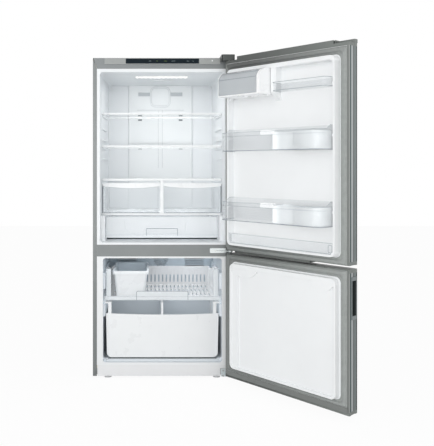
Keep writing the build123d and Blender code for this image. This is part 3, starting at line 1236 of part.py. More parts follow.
def door_bin(z, s0, s1, reach, back_h, front_h, radius, band):
    """A clear bin that hangs between the raised sides of the door liner."""
    tray(door_plan(z), (s0, s1, -reach, -BIN_NEAR), back_h, BIN_WALL, BIN_WALL, radius, True)
    ends = ((-reach - 5, front_h), (-reach * 0.62, front_h), (-reach * 0.35, back_h),
            (-reach - 5, back_h))
    ends = tuple((a, z + b) for a, b in ends)
    prism(door_end(s0 - 10), ends, s1 - s0 + 20, Mode.SUBTRACT)
    for h in (front_h - band, front_h - 2):
        lip = ((s0 + radius, -reach - 1.6), (s1 - radius, -reach - 1.6), (s1 - radius, -reach),
               (s0 + radius, -reach))
        prism(door_plan(z + h), lip, 2)
    for s, t in ((s0 - LUG[0] + 1, s0), (s1, s1 + LUG[0] - 1)):
        door_block(s, t, LUG[1], LUG[2], z + back_h - LUG_DROP, z + back_h - LUG_DROP + 8)


with BuildPart() as door_bins:
    for z in (LOW_BIN, MID_BIN):
        door_bin(z, BIN_SIDE, DOOR_W - BIN_SIDE, BIN_OUT, BIN_BACK_H, BIN_FRONT_H, BIN_R, BAND)

with BuildPart() as small_bin:
    s0, s1 = PILLAR[1] + FIT, DOOR_W - BIN_SIDE
    tray(door_plan(SMALL_BIN), (s0, s1, -85, -BIN_NEAR), SMALL_BIN_H, BIN_WALL, BIN_WALL, 25, True)
    low = SMALL_BIN + SMALL_BIN_H - LUG_DROP / 2
    door_block(s1, s1 + LUG[0] - 1, LUG[1], LUG[2], low, low + 8)

INSERT = (392.0, 665.0)
INSERT_P = (10.0, 122.0)
INSERT_H = 86.0
KNOB = (335.0, 392.0)
INSERT_DIVIDER = (532.0, 535.0)


def bin_insert(z):
    """A tub that stands in a door bin, with a divider and a hook over the bin's front rail."""
    low = z + BIN_WALL + FIT
    plan = (*INSERT, -INSERT_P[1], -INSERT_P[0])
    tray(door_plan(low), plan, INSERT_H, BIN_WALL, BIN_WALL, BIN_R - 4, True)
    door_block(*INSERT_DIVIDER, *INSERT_P, low, low + INSERT_H - 8)
    knob_low = z + BIN_FRONT_H - BAND
    door_block(KNOB[0], KNOB[1] + 30, 106, INSERT_P[1] + 1, knob_low, z + BIN_FRONT_H - 1, radius=7)
    rail = z + BIN_FRONT_H
    door_block(KNOB[0] + 6, KNOB[1] + 24, 106, BIN_OUT + 1.5, rail + FIT, rail + 4)
    door_block(KNOB[0] + 6, KNOB[1] + 24, 106, 116, rail - 4, rail + 4)


with BuildPart() as middle_bin_insert:
    bin_insert(MID_BIN)

with BuildPart() as lower_bin_insert:
    bin_insert(LOW_BIN)

DAIRY = (62.0, 335.0)
DAIRY_FLOOR = 6.0
DAIRY_P = 128.0
DAIRY_SHOULDER = 1606.0
DAIRY_TOP = 1650.0
DAIRY_WRAP = 17.0
DAIRY_WALL = 3.0
LID_AXIS = (53.0, 1643.0)  # from the door's face, and height
LID_PIN = 2.5
LID_HUB = 4.6


def dairy_solid(s0, s1, inset, low, mode=Mode.ADD):
    """The dairy compartment's side view given a length along the door."""
    front_p = -(DAIRY_P - inset)
    top = DAIRY_TOP - inset
    with BuildSketch(door_end(s0)) as outline:
        with BuildLine():
            Polyline((-BIN_NEAR, low), (front_p, low), (front_p, DAIRY_SHOULDER))
            ThreePointArc((front_p, DAIRY_SHOULDER), (front_p + 18, top - 15), (-60, top))
            Polyline((-60, top), (-BIN_NEAR, top), (-BIN_NEAR, low))
        make_face()
    extrude(outline.sketch, amount=s1 - s0, mode=mode)


def clear_of_rim():
    """Cuts away what would reach into the upper door liner's raised rim."""
    side_in = DIKE_IN + DIKE_W + FIT
    low, high = UPPER_RIM[1] + DIKE_W + FIT, UPPER_RIM[2] - UPPER_RIM_TOP - FIT
    inner = (side_in, DOOR_W - side_in, low, high)
    outer = (0, DOOR_W, UPPER_LOW, UPPER_HIGH)
    frame_slab(door_face(0), outer, inner, UPPER_RISE + FIT, 0, DIKE_R - DIKE_W / 2, Mode.SUBTRACT)


with BuildPart() as dairy_base:
    wrap = DAIRY[1] - DAIRY_WRAP
    dairy_solid(wrap, DAIRY[1], 0, DAIRY_LOW)
    hollow = (wrap, DAIRY[1] - DAIRY_WALL, DAIRY_WALL, DAIRY_LOW + DAIRY_FLOOR)
    dairy_solid(*hollow, Mode.SUBTRACT)
    dairy_solid(DAIRY[0], DAIRY[0] + DAIRY_WALL, 0, DAIRY_LOW)
    door_block(DAIRY[0], DAIRY[1], BIN_NEAR, DAIRY_P, DAIRY_LOW, DAIRY_LOW + DAIRY_FLOOR)
    door_block(DAIRY[0], DAIRY[1], 0, BIN_NEAR + 2, DAIRY_LOW, DAIRY_LOW + 60)
    bore = DAIRY[1] - DAIRY[0] - 1
    disc(door_end(DAIRY[0]), -LID_AXIS[0], LID_AXIS[1], LID_PIN + RUN, bore, Mode.SUBTRACT)
    clear_of_rim()

with BuildPart() as dairy_lid:
    s0, s1 = DAIRY[0] + DAIRY_WALL + FIT, DAIRY[1] - DAIRY_WRAP - FIT
    low = DAIRY_LOW + DAIRY_FLOOR + FIT
    dairy_solid(s0, s1, 0, low)
    dairy_solid(s0 + 2, s1 - 2, DAIRY_WALL, low - 10, Mode.SUBTRACT)
    door_block(s0 - 1, s1 + 1, -5, LID_AXIS[0] - 2, low - 10, DAIRY_TOP + 5, Mode.SUBTRACT)
    door_block(s0 - 1, s1 + 1, -5, 70, low - 10, DAIRY_TOP - 40, Mode.SUBTRACT)
    disc(door_end(s0), -LID_AXIS[0], LID_AXIS[1], LID_HUB, s1 - s0)
    disc(door_end(DAIRY[0] + 0.5), -LID_AXIS[0], LID_AXIS[1], LID_PIN, DAIRY[1] - DAIRY[0] - 2)

with BuildPart() as door_guard:
    low = UPPER_RIM[1] + DIKE_W + FIT
    door_block(SIDE_IN, DOOR_W - SIDE_IN, 40, 43, low, 811)
    door_block(DOOR_W - SIDE_IN - 8, DOOR_W - SIDE_IN, 24, 43, low + 8, 806)
    door_block(SIDE_IN, SIDE_IN + 8, 24, 43, low + 8, 806)
    clear_of_rim()

# ---- hinges --------------------------------------------------------------------------------------
ARM_T = 4.0


def hinge_arm(z, thick, x0, y0):
    """A flat arm from the case front to a round end about the hinge axis."""
    far = CASE_HALF - 4
    arm = ((x0, y0), (far, y0), (far, HINGE_Y), (HINGE_X - ARM_R, HINGE_Y))
    prism(level(z), arm, thick)
    disc(level(z), HINGE_X, HINGE_Y, ARM_R, thick)


with BuildPart() as top_hinge_bracket:
    hinge_arm(CASE_TOP, PLATE, HINGE_X - 45, 62)
    pin_end = UPPER_HIGH - PIN_GRIP
    disc(level(pin_end), HINGE_X, HINGE_Y, PIN_R, CASE_TOP - pin_end)
    disc(level(UPPER_HIGH + 3), HINGE_X, HINGE_Y, WASHER_R, CASE_TOP - UPPER_HIGH - 3)

with BuildPart() as top_hinge_cover:
    y0, y1 = HINGE_Y - 22, 66
    x0, x1 = HINGE_X - 48.5, HINGE_X + 23
    front_low, top = UPPER_HIGH + 3, CASE_TOP + 10
    block(x0, x1, y0, 0, front_low, top)
    block(x0, CASE_HALF, 0, y1, CASE_TOP, top)
    fillet(top_hinge_cover.edges().filter_by(Axis.Z).group_by(Axis.Y)[0], 12)
    block(x0 + 2, x1 - 2, y0 + 2, 0, front_low, top - 2, Mode.SUBTRACT)
    block(x0 + 2, CASE_HALF - 2, 0, y1 - 2, CASE_TOP, top - 2, Mode.SUBTRACT)

MID_PLATE = (HINGE_X - 107, HINGE_X - 17, LOWER_HIGH - 5, UPPER_LOW + 3)
MID_ARM_Z = (UPPER_LOW + LOWER_HIGH) / 2 - ARM_T / 2
with BuildPart() as middle_hinge_bracket:
    slab(front(0), *MID_PLATE, PLATE, radius=5)
    arm = (
        (MID_PLATE[0] + 32, -PLATE / 2),
        (MID_PLATE[1], -PLATE / 2),
        (CASE_HALF - 1, HINGE_Y + 8),
        (CASE_HALF - 1, HINGE_Y),
        (HINGE_X - ARM_R, HINGE_Y),
    )
    prism(level(MID_ARM_Z), arm, ARM_T)
    disc(level(MID_ARM_Z), HINGE_X, HINGE_Y, ARM_R, ARM_T)
    between = UPPER_LOW - LOWER_HIGH
    disc(level(LOWER_HIGH - PIN_GRIP), HINGE_X, HINGE_Y, PIN_R, between + 2 * PIN_GRIP)
    disc(level(LOWER_HIGH + FIT), HINGE_X, HINGE_Y, WASHER_R, between - 2 * FIT)

LOW_ARM_Z = 22.0
with BuildPart() as bottom_hinge_bracket:
    y = PAN_FRONT - PLATE / 2
    block(NOTCH_X + 3, KICK_HALF, PAN_FRONT - PLATE, PAN_FRONT, 9, NOTCH_Z - 3)
    arm = ((NOTCH_X + 7, y), (HINGE_X - 15, y), (CASE_HALF - 3, HINGE_Y + 6),
           (CASE_HALF - 3, HINGE_Y), (HINGE_X - ARM_R, HINGE_Y))
    prism(level(LOW_ARM_Z), arm, ARM_T)
    disc(level(LOW_ARM_Z), HINGE_X, HINGE_Y, ARM_R, ARM_T)
    disc(level(LOW_ARM_Z), HINGE_X, HINGE_Y, PIN_R, LOWER_LOW + PIN_GRIP - LOW_ARM_Z)
    disc(level(LOW_ARM_Z), HINGE_X, HINGE_Y, WASHER_R, LOWER_LOW - FIT - LOW_ARM_Z)

SCREW_R = 4.5
SCREW_H = 2.2
with BuildPart() as case_screws:
    for x, y in ((HINGE_X - 31, 20), (HINGE_X - 1, 20), (HINGE_X - 16, 46)):
        disc(level(CASE_TOP + PLATE), x, y, SCREW_R, SCREW_H)
    for x in (MID_PLATE[0] + 12, MID_PLATE[0] + 30):
        disc(front(-PLATE), x, (MID_PLATE[2] + MID_PLATE[3]) / 2, SCREW_R, SCREW_H)
    for z in (14.0, 42.0):
        disc(front(PAN_FRONT - PLATE), NOTCH_X + 15, z, SCREW_R, SCREW_H)

PIECES = {
    "case_shell": case_shell, "top_frame": top_frame, "mullion_cover": mullion_cover,
    "back_panel": back_panel, "base_pan": base_pan, "rear_rollers": rear_rollers,
    "levelling_legs": levelling_legs, "kick_plate": kick_plate, "cabinet_foam": cabinet_foam,
    "fresh_food_liner": fresh_food_liner, "freezer_liner": freezer_liner,
    "control_housing": control_housing, "control_panel": control_panel, "door_switch": door_switch,
    "control_board": control_board, "led_lamp": led_lamp, "air_duct_cover": air_duct_cover,
    "shelf_glass": shelf_glass, "shelf_trims": shelf_trims,
    "crisper_cover_frame": crisper_cover_frame, "deli_cover_shelf": deli_cover_shelf,
    "crisper_left": crisper_left, "crisper_right": crisper_right, "deli_drawer": deli_drawer,
    "freezer_basket": freezer_basket, "ice_bin": ice_bin, "freezer_drawer": freezer_drawer,
    "freezer_back_cover": freezer_back_cover, "evaporator_fan": evaporator_fan,
    "evaporator": evaporator, "compressor": compressor, "drain_pan": drain_pan,
    "condenser_fan_shroud": condenser_fan_shroud, "condenser_fan": condenser_fan,
    "condenser": condenser, "machine_cover": machine_cover, "power_inlet": power_inlet,
    "upper_door_shell": upper_door_shell, "upper_door_foam": upper_door_foam,
    "upper_door_gasket": upper_door_gasket, "upper_door_liner": upper_door_liner,
    "upper_door_end_caps": upper_door_end_caps, "freezer_door_shell": freezer_door_shell,
    "freezer_door_handle": freezer_door_handle, "freezer_door_foam": freezer_door_foam,
    "freezer_door_gasket": freezer_door_gasket, "freezer_door_liner": freezer_door_liner,
    "freezer_door_end_caps": freezer_door_end_caps, "door_bins": door_bins,
    "small_bin": small_bin, "door_guard": door_guard, "middle_bin_insert": middle_bin_insert,
    "lower_bin_insert": lower_bin_insert, "dairy_base": dairy_base, "dairy_lid": dairy_lid,
    "top_hinge_bracket": top_hinge_bracket, "top_hinge_cover": top_hinge_cover,
    "middle_hinge_bracket": middle_hinge_bracket, "bottom_hinge_bracket": bottom_hinge_bracket,
    "case_screws": case_screws,
}

os.makedirs("parts", exist_ok=True)
for name, piece in PIECES.items():
    save(piece.part, name)
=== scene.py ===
import math

import bmesh
import bpy
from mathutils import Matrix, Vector


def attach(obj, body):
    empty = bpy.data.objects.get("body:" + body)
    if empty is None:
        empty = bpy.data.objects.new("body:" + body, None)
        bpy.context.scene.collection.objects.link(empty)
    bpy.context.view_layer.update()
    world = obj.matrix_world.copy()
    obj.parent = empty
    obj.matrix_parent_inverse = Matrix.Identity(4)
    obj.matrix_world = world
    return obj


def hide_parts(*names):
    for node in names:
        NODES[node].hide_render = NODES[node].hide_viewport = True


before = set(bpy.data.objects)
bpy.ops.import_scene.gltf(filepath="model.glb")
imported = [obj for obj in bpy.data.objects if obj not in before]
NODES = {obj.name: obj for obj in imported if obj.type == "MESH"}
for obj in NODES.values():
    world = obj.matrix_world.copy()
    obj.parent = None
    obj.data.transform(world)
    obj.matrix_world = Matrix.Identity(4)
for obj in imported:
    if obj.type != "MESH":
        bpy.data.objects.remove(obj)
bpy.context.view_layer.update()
scene = bpy.context.scene

# ---- the open doors' frame: s from the hinge edge, p out of the inner face, z up (mm) ------------
TURN = math.radians(131)
DIR = Vector((-math.cos(TURN), -math.sin(TURN), 0))
OUT = Vector((math.sin(TURN), -math.cos(TURN), 0))
HINGE_PIN = Vector((367, -38, 0))
PIN_IN = 8  # the pin's middle from the door's hinge edge
PIN_BACK = 28  # and from its inner face
CORNER = HINGE_PIN - DIR * PIN_IN - OUT * PIN_BACK
DOOR_W = 750


def door(s, p, z):
    """A point on an open door, in metres."""
    v = CORNER + DIR * s - OUT * p
    return Vector((v.x, v.y, z)) / 1000


def door_sp(point):
    """(s, p, z) in millimetres of a point in metres."""
    v = Vector((point[0], point[1], 0)) * 1000 - CORNER
    return v.dot(DIR), -v.dot(OUT), point[2] * 1000


# ---- materials -----------------------------------------------------------------------------------
WHITE = (1, 1, 1, 1)
FINE_GRAIN = 700  # noise scale of a moulded or painted surface's finest grain
POLISHED = 0.055  # least grain that a moulded surface shows
STRIPE_BLUR = 1.2  # half the width over which one stripe turns into the next, in mm
LENS_PITCH = 0.0249  # from one of the lamp's lenses to the next, in metres


def srgb(*color):
    """A linear colour from 8-bit values."""
    shares = [c / 255 for c in color]
    linear = [((c + 0.055) / 1.055) ** 2.4 if c > 0.04 else c / 12.92 for c in shares]
    return (*linear, 1)


def add_node(tree, kind, values=None, operation=None):
    """A new node, with values for some of its inputs."""
    node = tree.nodes.new("ShaderNode" + kind)
    if operation:
        node.operation = operation
    for key, value in (values or {}).items():
        node.inputs[key].default_value = value
    return node


def add_mix(tree, blend="MIX"):
    """A new node that mixes two colours."""
    mix = tree.nodes.new("ShaderNodeMix")
    mix.data_type = "RGBA"
    mix.blend_type = blend
    return mix


def along(tree, axis):
    """Distance along an axis in millimetres, from the scene's origin."""
    coord = add_node(tree, "TexCoord")
    dot = add_node(tree, "VectorMath", {1: tuple(1000 * v for v in axis)}, "DOT_PRODUCT")
    tree.links.new(coord.outputs["Object"], dot.inputs[0])
    return dot.outputs["Value"]


class Mat:
    """A node material with a Principled shader and helpers for its inputs."""

    def __init__(self, name, color, rough=0.4, metal=0.0, alpha=1.0):
        self.mat = bpy.data.materials.new(name)
        self.mat.use_nodes = True
        self.nt = self.mat.node_tree
        self.nt.nodes.clear()
        self.out = add_node(self.nt, "OutputMaterial")
        self.bsdf = add_node(self.nt, "BsdfPrincipled")
        self.link(self.bsdf.outputs[0], self.out.inputs[0])
        self.color = srgb(*color)
        self.rough = rough
        self.set("Base Color", self.color)
        self.set("Roughness", rough)
        self.set("Metallic", metal)
        self.set("Alpha", alpha)
        self.coord = add_node(self.nt, "TexCoord")

    def set(self, name, value):
        self.bsdf.inputs[name].default_value = value

    def glow(self, color, strength):
        self.set("Emission Color", color)
        self.set("Emission Strength", strength)
        return self

    def link(self, a, b):
        self.nt.links.new(a, b)

    def mapped(self, scale):
        m = add_node(self.nt, "Mapping", {"Scale": scale})
        self.link(self.coord.outputs["Object"], m.inputs["Vector"])
        return m.outputs[0]

    def noise(self, scale, detail=3, rough=0.5, stretch=(1, 1, 1)):
        values = {"Scale": scale, "Detail": detail, "Roughness": rough}
        n = add_node(self.nt, "TexNoise", values)
        self.link(self.mapped(stretch), n.inputs["Vector"])
        return n.outputs["Fac"]

    def ramp(self, fac, low, high, a=0.35, b=0.65):
        """Maps a pattern's middle range, from a to b, to two levels."""
        values = {"From Min": a, "From Max": b, "To Min": low, "To Max": high}
        r = add_node(self.nt, "MapRange", values)
        self.link(fac, r.inputs["Value"])
        return r.outputs[0]

    def vary_color(self, fac, low, high):
        """Varies the colour by a pattern, between two multiples of itself."""
        mix = add_mix(self.nt)
        mix.inputs["A"].default_value = (*(c * low for c in self.color[:3]), 1)
        mix.inputs["B"].default_value = (*(min(1, c * high) for c in self.color[:3]), 1)
        self.link(self.ramp(fac, 0, 1), mix.inputs["Factor"])
        self.link(mix.outputs["Result"], self.bsdf.inputs["Base Color"])
        return self

    def vary_rough(self, fac, spread):
        level = self.ramp(fac, self.rough - spread, self.rough + spread)
        self.link(level, self.bsdf.inputs["Roughness"])
        return self

    def bump(self, height, strength, distance):
        b = add_node(self.nt, "Bump", {"Strength": strength, "Distance": distance})
        self.link(height, b.inputs["Height"])
        self.link(b.outputs[0], self.bsdf.inputs["Normal"])
        return self

    def door_share(self, s0, s1, low=0.0, high=1.0):
        """A node that goes from low at s0 to high at s1, in mm along a door."""
        start = CORNER.dot(DIR)
        values = {"From Min": s0 + start, "From Max": s1 + start, "To Min": low, "To Max": high}
        share = add_node(self.nt, "MapRange", values)
        self.link(along(self.nt, DIR), share.inputs["Value"])
        return share

    def paint_light_along(self, s0, s1, stops):
        """Paints light into a clear plastic along a door as a glow: stops are (share, strength)."""
        node = add_node(self.nt, "ValToRGB")
        elements = node.color_ramp.elements
        elements[0].position, elements[1].position = stops[0][0], stops[-1][0]
        for position, _ in stops[1:-1]:
            elements.new(position)
        for element, (_, level) in zip(elements, stops):
            element.color = (level, level, level, 1)
        self.link(self.door_share(s0, s1).outputs[0], node.inputs[0])
        self.link(node.outputs[0], self.bsdf.inputs["Emission Strength"])
        return self

    def paint_hinge_shade(self, s0, s1, near, far):
        """Paints shade into a colour near the hinge, where the cabinet shades the door: a smooth
        step from near at s0 to far at s1, in mm.
        """
        share = self.door_share(s0, s1, near, far)
        share.interpolation_type = "SMOOTHSTEP"
        base = self.bsdf.inputs["Base Color"]
        mix = add_mix(self.nt, "MULTIPLY")
        mix.inputs["Factor"].default_value = 1.0
        self.link(base.links[0].from_socket, mix.inputs["A"])
        self.link(share.outputs[0], mix.inputs["B"])
        self.link(mix.outputs["Result"], base)
        return self


def painted(name, color, rough=0.42, metal=0.0, coat=0.15, peel=0.10):
    """Sheet with a coat of paint and its slight orange peel."""
    m = Mat(name, color, rough, metal)
    m.set("Coat Weight", coat)
    m.set("Coat Roughness", 0.25)
    fine = m.noise(FINE_GRAIN, 2)
    m.vary_color(m.noise(7, 4), 0.98, 1.015).vary_rough(m.noise(12, 3), 0.02)
    return m.bump(fine, peel * 0.25, 0.0001)


def brushed(name, color, rough=0.34, stretch=(260, 260, 3), metal=0.85, depth=0.10):
    """Metal with a fine grain in one direction, or a cloudy one where stretch is even."""
    m = Mat(name, color, rough, metal)
    m.set("Anisotropic", 0.5)
    grain = m.noise(6, 4, 0.6, stretch)
    return m.vary_color(grain, 0.93, 1.06).vary_rough(grain, 0.06).bump(grain, depth, 0.0002)


def moulded(name, color, rough=0.38, grain=0.06):
    """Opaque plastic, with a grain where it isn't polished."""
    m = Mat(name, color, rough)
    m.set("Specular IOR Level", 0.5)
    m.vary_color(m.noise(5, 3), 0.99, 1.01).vary_rough(m.noise(14, 3), 0.05)
    if grain > POLISHED:
        m.bump(m.noise(FINE_GRAIN, 2), grain * 0.4, 0.00005)
    return m


def clear(name, color, alpha, rough=0.08, grain=0.02, glow=0.0):
    """Clear plastic or glass; shadow and diffuse rays meet only a quarter of it, and a glow paints
    light into it.
    """
    m = Mat(name, color, rough, 0.0, alpha).glow(srgb(*color), glow)
    m.set("IOR", 1.5)
    m.set("Specular IOR Level", 0.6)
    m.set("Coat Weight", 0.4)
    m.set("Coat Roughness", 0.05)
    m.vary_color(m.noise(6, 2), 0.97, 1.02).vary_rough(m.noise(40, 2), 0.03)
    m.bump(m.noise(300, 2), grain, 0.0001)
    path = add_node(m.nt, "LightPath")
    rays = add_node(m.nt, "Math", operation="MAXIMUM")
    m.link(path.outputs["Is Shadow Ray"], rays.inputs[0])
    m.link(path.outputs["Is Diffuse Ray"], rays.inputs[1])
    see = add_node(m.nt, "MapRange", {"To Min": alpha, "To Max": alpha * 0.25})
    m.link(rays.outputs[0], see.inputs["Value"])
    m.link(see.outputs[0], m.bsdf.inputs["Alpha"])
    return m


def striped(name, stops, rough=0.4):
    """Steel with the highlights and shade of folds painted on as stripes along a door's free edge:
    stops are (depth in mm, colour).
    """
    m = Mat(name, stops[0][1], rough, 0.3)
    m.set("Coat Weight", 0.15)
    depth = add_node(m.nt, "Math", {1: CORNER.dot(OUT)}, "SUBTRACT")
    m.link(along(m.nt, OUT), depth.inputs[0])
    last = None
    for start, color in stops[1:]:
        values = {"From Min": start - STRIPE_BLUR, "From Max": start + STRIPE_BLUR}
        edge = add_node(m.nt, "MapRange", values)
        m.link(depth.outputs[0], edge.inputs["Value"])
        mix = add_mix(m.nt)
        mix.inputs["A"].default_value = srgb(*stops[0][1])
        if last:
            m.link(last, mix.inputs["A"])
        mix.inputs["B"].default_value = srgb(*color)
        m.link(edge.outputs[0], mix.inputs["Factor"])
        last = mix.outputs["Result"]
    m.link(last, m.bsdf.inputs["Base Color"])
    return m.vary_rough(m.noise(30, 3), 0.05).bump(m.noise(900, 2), 0.1, 0.0002)


def rubber(name, color):
    """Matt rubber of a door's seal, also the dark matt of the bars of painted shadow."""
    m = Mat(name, color, 0.62)
    m.set("Specular IOR Level", 0.35)
    return m.vary_color(m.noise(60, 4), 0.94, 1.04).bump(m.noise(1100, 3), 0.12, 0.0002)


def lamp_lens():
    """The lamp's row of lenses: a glow that rises and falls from one to the next."""
    m = Mat("lamp_lens", (255, 255, 255), 0.2).glow((1, 1, 0.98, 1), 1.6)
    m.bump(m.noise(400, 2), 0.05, 0.0002)
    split = add_node(m.nt, "SeparateXYZ")
    m.link(m.coord.outputs["Object"], split.inputs[0])
    level = split.outputs["X"]
    waves = (("MULTIPLY", math.tau / LENS_PITCH), ("SINE", None), ("MULTIPLY", 0.9), ("ADD", 1.1))
    for operation, value in waves:
        values = {} if value is None else {1: value}
        wave = add_node(m.nt, "Math", values, operation)
        m.link(level, wave.inputs[0])
        level = wave.outputs[0]
    m.link(level, m.bsdf.inputs["Emission Strength"])
    return m


# painted and bare metal
CASE = painted("case_paint", (122, 126, 126), 0.40, 0.35, 0.25)
BAND = painted("band_paint", (121, 125, 126), 0.38, 0.45, 0.2)
MULLION = painted("mullion_paint", (126, 130, 130), 0.42, 0.3, 0.15)
HOUSING = painted("housing_grey", (150, 153, 152), 0.42, 0.2, 0.15)
KICK = painted("kick_white", (232, 233, 234), 0.4, 0.0, 0.1)
DOOR = brushed("door_steel", (158, 162, 161), 0.36)
DOOR_HEM = painted("door_hem", (132, 135, 133), 0.42, 0.35, 0.15)
# Painted highlights and shade of the free edge's folds, as six bands of colour on a flat face.
EDGE_FOLD_LIGHT = striped("edge_folds_painted_light", (
    (0, (176, 180, 178)), (4.5, (66, 82, 82)), (16.5, (176, 181, 182)),
    (34, (98, 104, 104)), (42, (122, 130, 130)), (55, (52, 64, 64)),
))
BLACK = painted("black_paint", (26, 27, 28), 0.35, 0.0, 0.4, 0.15)
ZINC = brushed("zinc", (205, 210, 210), 0.32, (60, 60, 60), 0.7, 0.08)
# A lighter, less metallic copy of the zinc for the bottom bracket: painted light.
HINGE = brushed("hinge_zinc_lit", (222, 230, 232), 0.36, (60, 60, 60), 0.3, 0.08)
SCREW = brushed("screw_steel", (200, 202, 200), 0.28, (80, 80, 80), 0.9, 0.05)
GALV = brushed("galvanised", (168, 172, 174), 0.42, (14, 14, 14), 0.6, 0.1)
ALU = brushed("aluminium", (198, 202, 204), 0.35, (40, 40, 40), 0.9, 0.06)

# white plastic
LINER = moulded("liner_white", (238, 241, 243), 0.33, 0.05)
DOOR_LINER = moulded("door_liner_white", (243, 245, 246), 0.33, 0.05)
# The freezer liner's white with a blue-grey tint of painted shade; its front edge gets a lighter,
# neutral copy.
FREEZER = moulded("freezer_white_blue_shade", (226, 232, 237), 0.36, 0.05)
# The back wall's white darkened to blue-grey: painted shade.
FREEZER_BACK_SHADED = moulded("freezer_back_wall_shaded", (186, 198, 207), 0.4, 0.05)
FLANGE = moulded("freezer_flange_lit", (236, 238, 239), 0.34, 0.04)
# Blue-grey with a glow: painted light in the shaded hollows beside the drawer's rails.
RAIL_LIT = moulded("freezer_rail_painted_light", (204, 212, 218), 0.4, 0.05).glow(srgb(204, 212, 218), 0.3)
DUCT = moulded("duct_white", (238, 241, 242), 0.36, 0.05)
TRIM = moulded("trim_white", (244, 246, 247), 0.28, 0.03)
DAIRY_WHITE = moulded("dairy_white", (252, 253, 254), 0.28, 0.03)
# The hooks' white plastic with a glow: painted light.
KNOB_LIT = moulded("knob_white_lit", (252, 253, 254), 0.28, 0.03).glow(srgb(252, 253, 254), 0.12)
ICE = moulded("ice_bin_white", (238, 241, 243), 0.3, 0.03)
# The front of the ice bin's rear wall, darker blue-grey: painted shade.
ICE_BACK_SHADED = moulded("ice_bin_back_shaded", (212, 222, 229), 0.4, 0.04)
DRAWER = moulded("drawer_white", (240, 242, 243), 0.32, 0.04)
# The front of the drawer's rear wall, darker blue-grey: painted shade.
DRAWER_BACK_SHADED = moulded("drawer_back_shaded", (206, 213, 219), 0.4, 0.05)
FOOT = moulded("foot_plastic", (236, 238, 239), 0.4, 0.06)

# grey and dark plastic, foam and rubber
# The cap's colour carries painted shade, darker near the hinge.
CAP = moulded("cap_plastic", (125, 130, 127), 0.45, 0.1)
CAP.paint_hinge_shade(0, 2 * DOOR_W, 0.41, 1.59)  # the step's first half, up to 1 at the free edge
DARK = moulded("dark_cap", (66, 70, 68), 0.42, 0.12)
HANDLE = moulded("handle_frame", (128, 136, 137), 0.38, 0.1)
HANDLE_IN = moulded("handle_inside", (52, 60, 60), 0.5, 0.1)
# Painted shadow in the duct cover's vents, softer in the top vents.
VENT = moulded("vent_shadow", (150, 156, 160), 0.6, 0.1)
VENT_SOFT = moulded("vent_soft_shadow", (204, 209, 212), 0.6, 0.1)
GREY_PL = moulded("grey_plastic", (120, 124, 126), 0.45, 0.1)
BLACK_PL = moulded("black_plastic", (30, 31, 33), 0.5, 0.15)
BOARD = moulded("circuit_board", (30, 88, 56), 0.4, 0.1)
FOAM = moulded("foam", (228, 218, 178), 0.9, 0.6)
# The seal's colour carries painted shade near the hinge; its top run is a darker shaded copy.
GASKET = rubber("gasket_grey", (160, 164, 162)).paint_hinge_shade(80, 720, 0.64, 0.99)
GASKET_TOP_SHADED = rubber("gasket_top_shaded", (160, 164, 162)).paint_hinge_shade(90, 780, 0.355, 0.86)
# Dark bars of painted shadow in gaps and at drawers' feet.
SHADOW = rubber("painted_shadow_dark", (40, 48, 50))

# clear plastic and glass; the last three are the lines that its edges draw
CLEAR = clear("clear_bin", (222, 229, 234), 0.13)
TUB = (392, 665)  # a bin insert's ends along the door
# The insert's glow is painted light: bright on the tub's curved ends, faint across its middle.
INSERT_LIT = clear("insert_tub_lit", (246, 250, 252), 0.42).paint_light_along(*TUB, (
    (0, 0.8), (0.12, 0.6), (0.19, 0.25), (0.25, 0.02), (0.615, 0.0), (0.76, 0.2), (0.91, 0.35),
    (1, 0.3),
))
# The crispers, the deli drawer and the basket's inside glow with painted light.
CRISPER = clear("clear_crisper_lit", (228, 235, 239), 0.12, glow=0.44)
DELI = clear("clear_deli_lit", (238, 242, 245), 0.30, glow=0.24)
BASKET = clear("basket_plastic", (232, 237, 240), 0.82)
BASKET_INSIDE_LIT = clear("basket_inside_lit", (226, 227, 228), 0.85, glow=0.18)
SMOKY = clear("smoky_visor", (190, 196, 200), 0.60)
SHELF = clear("shelf_glass", (222, 234, 234), 0.10, 0.04)
CLEAR_EDGE = clear("clear_edge", (190, 199, 205), 0.6)
LINE = clear("clear_line", (128, 138, 148), 0.8, 0.2)
FAINT = clear("faint_line", (168, 178, 184), 0.7, 0.2)
WHISPER = clear("whisper_line", (196, 202, 206), 0.6, 0.3)

# control glass and lamp
GLASS_DARK = painted("control_glass", (12, 26, 34), 0.24, 0.0, 0.0, 0.0)
GLASS_DARK.set("Specular IOR Level", 0.12)
MARK = moulded("panel_mark", (150, 164, 168), 0.4, 0.02)
MARK_GREEN = moulded("panel_mark_green", (120, 140, 70), 0.4, 0.02)
LAMP = Mat("lamp_cover", (250, 250, 246), 0.3).glow((1, 0.99, 0.96, 1), 0.35)
LAMP.bump(LAMP.noise(200, 2), 0.05, 0.0002)
LENS = lamp_lens()

